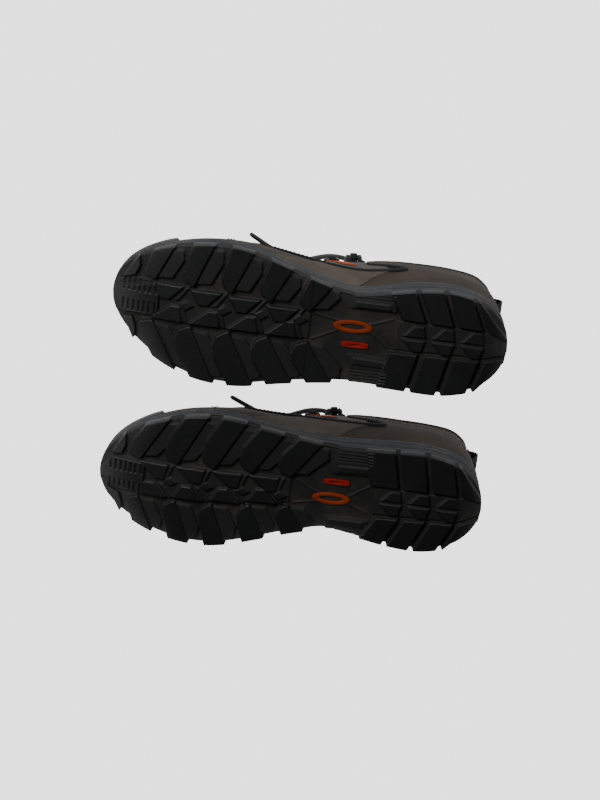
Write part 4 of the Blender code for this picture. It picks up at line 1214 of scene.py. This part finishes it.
END_LIFT = 0.0125
BOW_LIFT = END_LIFT + 2 * LACE_RADIUS + GAP
BOW_SPOTS = ((7.80, 0.55), (8.50, 0.62), (9.05, 0.55), (9.10, 0.34), (8.50, 0.20), (7.80, 0.16), (7.35, 0.10))


def bow_route(side):
    """One loop of the bow, lying forward over the free ends and the lacing."""
    loop = [throat(k, [side * w], BOW_LIFT)[0] for k, w in BOW_SPOTS]
    return [KNOT_AT, throat(7.25, [side * 0.35], 0.0140)[0], *loop, KNOT_AT]


def end_route(side):
    """A free end: forward over the lacing, out past the gap's edge and off the side."""
    over = ((7.55, 0.22, END_LIFT), (8.1, 0.35, 0.0120), (8.7, 0.75, 0.0120))
    off = ((9.2, 0.93, END_LIFT), (9.6, 0.84, END_LIFT), (9.9, 0.78, 0.0160))
    points = [throat(k, [side * w], lift)[0] for k, w, lift in over]
    return points + [guide(side * k, v, lift) for k, v, lift in off]


def join(name, pieces):
    """Several pieces as one: their points, faces and UV maps one after another."""
    bpy.context.view_layer.update()
    bpy.ops.object.select_all(action="DESELECT")
    for piece in pieces:
        piece.select_set(True)
    bpy.context.view_layer.objects.active = pieces[0]
    bpy.ops.object.join()
    pieces[0].name = name
    return pieces[0]


KNOT_AT = throat(7.05, [0.0], 0.0060)[0]
LOOP_RINGS = ((0, 2.9), (0, 3.55), (0.06, 3.7), (0.94, 3.7), (1, 3.55), (1, 2.9), (0.5, 2.85), (0, 2.9))
KNOT_TURNS = ((3.0, 5.2, 2.6, 0.5), (4.0, 3.0, 2.6, 2.2), (1.6, 5.5, 2.7, -0.9))


def lacing(side, boot):
    """One boot's lace, loops, free ends and tips. A turn of the knot is a tilted ellipse."""
    turn = np.linspace(0, 2 * math.pi, 60)
    knot = [KNOT_AT + np.stack([x * np.cos(turn), y * np.sin(turn), z * np.sin(turn + lag)], -1) * MM
            for x, y, z, lag in KNOT_TURNS]
    cords = [(even(lace_route()), False)] + [(path, True) for path in knot]
    cords += [(even(bow_route(w)), False) for w in (1, -1)]
    pieces = [tube(f"{boot}_lace_{i}", path, LACE_RADIUS, side, LACE, closed=closed)
              for i, (path, closed) in enumerate(cords)]
    stand_for(join(f"{boot}_tied_lace", pieces), boot, "lace", slot="lace")
    for sign, word in ((1, "medial"), (-1, "lateral")):
        loops = []
        for number, k in enumerate(EYELETS):
            a, b = beside(k, sign, -LOOP_WIDTH / 2), beside(k, sign, LOOP_WIDTH / 2)
            loops.append(webbing_loop(f"{boot}_loop_{word}_{number}", a, b, side))
        stand_for(join(f"{boot}_lace_loops_{word}", loops), boot, slot="webbing")
        path = even(end_route(sign))
        tip_path = path[-1] + unit(path[-1] - path[-2]) * np.linspace(GAP, AGLET + GAP, 14)[:, None]
        shape = np.interp(np.linspace(0, 1, 14), (0, 0.05, 0.9, 1), (0.0018, 0.0019, 0.0018, 0.0012))
        tip = tube(f"{boot}_lace_tip_{word}", tip_path, shape, side, TIP)
        stand_for(tip, boot, f"aglet_{word}", slot="aglet")
        cord = tube(f"{boot}_free_lace_{word}", path, LACE_RADIUS, side, LACE)
        stand_for(cord, boot, f"lace_end_{word}", slot="lace")
        line = place(path, side)
        length = run_length(line)
        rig.cord(cord, exit=line[0], length=length, diameter=2 * LACE_RADIUS, far_end="fitting",
                stiffness="limp", lay="loose", path=line, with_pieces=[tip])
    return length


def webbing_loop(name, a, b, side):
    """A band round the lace: a ring carried along the lace from a to b and back inside itself."""
    aside = unit(np.cross(unit(b - a), [0, 0, 1.0]))
    over = np.cross(unit(b - a), aside)
    angle = np.linspace(0, 2 * math.pi, 29)[:-1]
    ring = np.cos(angle)[:, None] * aside + np.sin(angle)[:, None] * over
    rows = [a + (b - a) * share + ring * radius * MM for share, radius in LOOP_RINGS]
    return surface(name, np.array(rows), side, WEBBING, wrap=True)


for side, boot in BOOTS:
    free = lacing(side, boot)
print("lacing made; each free end is", round(free * 1000, 1), "mm long")

# %% [markdown]
# The pull at the heel is a strap of the same webbing, sewn down at both ends.
# %% The heel pull
PULL_REACH, PULL_WIDTH = 0.0062, 0.016
PULL_STOPS = (  # share of the way up the heel, and how far the strap stands off it
    (0.50, 0), (0.58, 0), (0.66, 0), (0.74, 0.6), (0.82, 1.0), (0.89, 0.75), (0.93, 0), (0.985, 0),
)


def heel_pull(side, boot):
    """A strap: sewn flat low down and at the top, standing off the heel between."""
    stops = [skin(0.0, v, GAP + OVERLAY + reach * PULL_REACH) for v, reach in PULL_STOPS]
    path = resample_path(stops, 60)
    path[:, 1] = 0
    width = np.linspace(-PULL_WIDTH / 2, PULL_WIDTH / 2, 15)
    rows = path[:, None] + np.stack([0 * width, width, 0 * width], -1)
    piece = surface(f"{boot}_pull_strap", rows[::-1], side, WEBBING, thick=OVERLAY * 0.9)
    stand_for(piece, boot, "heel_pull", slot="webbing")


for side, boot in BOOTS:
    heel_pull(side, boot)
print("heel pulls made")

# %% [markdown]
# Stitches hold it all together. One stitch is a small raised block of thread, repeated along a
# line on the skin, so a whole row is worked out as one array.
# %% Stitching
CORNERS = ((-1, -1), (1, -1), (1, 1), (-1, 1))
STITCH = np.array([(x, y, 0) for x, y in CORNERS] + [(0.6 * x, 0.5 * y, 1) for x, y in CORNERS])
STITCH_FACES = np.array([(3, 2, 1, 0), (4, 5, 6, 7), (0, 1, 5, 4), (1, 2, 6, 5), (2, 3, 7, 6), (3, 0, 4, 7)])


def stitch_row(kv, lift, pitch=0.0030, long=0.0021, wide=0.0007, high=0.00045):
    """Corner points of every stitch on a (k, v) line: its centre, and so far along, across and out."""
    rough = resample_path(kv, 200)
    path = resample_path(kv, max(int(run_length(skin(rough[:, 0], rough[:, 1])) / pitch), 3))
    centre = skin(path[:, 0], path[:, 1], lift)
    out = unit(skin(path[:, 0], path[:, 1], lift + 0.001) - centre)
    run = unit(np.gradient(centre, axis=0))
    size = STITCH * [long / 2, wide / 2, high]
    axes = (run, np.cross(out, run), out)
    return centre[:, None] + sum(size[:, i, None] * axis[:, None] for i, axis in enumerate(axes))


def sewn(name, rows, side, boot, look, slot):
    """Every stitch of these rows as one piece; gives back how many there are."""
    points = np.concatenate(rows)
    faces = (np.arange(len(points))[:, None, None] * 8 + STITCH_FACES).reshape(-1, 4)
    if side < 0:
        faces = faces[:, ::-1]
    mesh = bpy.data.meshes.new(name)
    mesh.from_pydata(place(points.reshape(-1, 3), side).tolist(), [], faces.tolist())
    mesh.uv_layers.new(name="UVMap")
    stand_for(finish_piece(name, mesh, look), boot, slot=slot)
    return len(points)


def seams(side, boot):
    """Brown rows down the panel seams and under the collar, black rows on the webbing."""
    brown, black = [], []
    for sign in (1, -1):
        at = lambda rows: [(k * sign, v) for k, v in rows]
        level = lambda v, first, last, count: at([(k, v) for k in np.linspace(first, last, count)])
        for shift, rise in ((0.0, 0.0), (0.112, 0.0056)):
            panel_seam = [(6.02 - shift, 0.39 + rise), (6.45 - shift, 0.2), (6.85 - shift, 0.04)]
            brown.append(stitch_row(at(panel_seam), 0.0))
        for v in (0.955, 0.925):
            brown.append(stitch_row(level(v, 0.8, 6.9, 12), 0.0))
        for k in (10.95, 11.07):
            brown.append(stitch_row(at([(k, v) for v in np.linspace(0.05, 0.8, 6)]), 0.0003))
        heel_seam = [(2.6, 0.04), (2.2, 0.3), (2.6, 0.55), (4.2, 0.70), (6.2, 0.80)]
        brown.append(stitch_row(at(heel_seam), 0.0))
        brown.append(stitch_row(at([(0.5, v) for v in (0.06, 0.25, 0.46)]), 0.0010))
        for v in (0.882, 0.965):
            black.append(stitch_row(level(v, 7.15, 10.6, 8), 0.0016))
        black.append(stitch_row(at(TRIM_PATH), 0.0017))
    count = sewn(f"{boot}_brown_stitching", brown, side, boot, THREAD, "nubuck")
    return count + sewn(f"{boot}_black_stitching", black, side, boot, DARK_THREAD, "webbing")


print("stitches:", sum(seams(side, boot) for side, boot in BOOTS))

# %% [markdown]
# The studio is plain: a pale floor under the boots that is only there from above, so that the
# soles show from below, an even pale surround, and large soft lights over and under the pair.
# %% Stage and light
def one_sided(name, colour):
    """A floor finish that is clear when it is seen from behind."""
    material = bpy.data.materials.new(name)
    material.use_nodes = True
    tree = material.node_tree
    shader, output = tree.nodes["Principled BSDF"], tree.nodes["Material Output"]
    grain = use(tree, GRAIN, Size=60.0, Depth=0.02, Blotch=3.0)
    worn = mix(tree, grain["Shade"], colour, tuple(c * 0.97 for c in colour))
    feed(tree, shader, Base_Color=worn, Roughness=0.8)
    clear = node(tree, "ShaderNodeBsdfTransparent")
    blend = node(tree, "ShaderNodeMixShader")
    behind = node(tree, "ShaderNodeNewGeometry").outputs["Backfacing"]
    feed(tree, blend, i0=behind, i1=shader.outputs[0], i2=clear.outputs[0])
    tree.links.new(blend.outputs[0], output.inputs["Surface"])
    return material


FLOOR_REACH = 3.0
mesh = bpy.data.meshes.new("floor")
mesh.from_pydata([(x * FLOOR_REACH, y * FLOOR_REACH, 0) for x, y in CORNERS], [], [(0, 1, 2, 3)])
floor = bpy.data.objects.new("floor", mesh)
mesh.materials.append(one_sided("pale_floor", (0.76, 0.755, 0.77)))
bpy.context.scene.collection.objects.link(floor)
floor.visible_shadow = False
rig.stage(floor)

world = bpy.data.worlds.new("surround")
world.use_nodes = True
tree = world.node_tree
seen, lit = tree.nodes["Background"], node(tree, "ShaderNodeBackground")
feed(tree, seen, Color=(0.78, 0.772, 0.79, 1), Strength=3.2)
feed(tree, lit, Color=(0.78, 0.775, 0.79, 1), Strength=0.9)
blend = node(tree, "ShaderNodeMixShader")
ray = node(tree, "ShaderNodeLightPath").outputs["Is Camera Ray"]
feed(tree, blend, i0=ray, i1=lit.outputs[0], i2=seen.outputs[0])
tree.links.new(blend.outputs[0], tree.nodes["World Output"].inputs["Surface"])
bpy.context.scene.world = world


def soft_light(name, location, target, size, power):
    """A square lamp, size across, turned towards its target and itself unseen."""
    data = bpy.data.lights.new(name, "AREA")
    data.size, data.energy = size, power
    light = bpy.data.objects.new(name, data)
    gaze = unit(np.array(target) - np.array(location))
    aside = unit(np.cross(gaze, [0.02, 0.01, 1.0]))
    light.matrix_world = placing(aside, np.cross(aside, gaze), -gaze, location)
    light.visible_camera = False
    bpy.context.scene.collection.objects.link(light)


soft_light("over", (-0.3, 0.3, 1.4), (0, 0, 0.05), 1.5, 12)
soft_light("under", (-0.6, -1.0, -1.1), (0, 0, 0.02), 0.9, 20)
soft_light("side", (0.6, -1.4, 0.7), (0, 0, 0.05), 1.0, 3)
print("stage ready")

# %% [markdown]
# Last, the sizes of the model and of everything made round it.
# %% Sizes
json.dump({"cad": CAD_BOX, "visual": [list(map(float, corner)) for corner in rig.bounds()]},
          open("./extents.json", "w"))
print("sizes:", open("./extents.json").read())
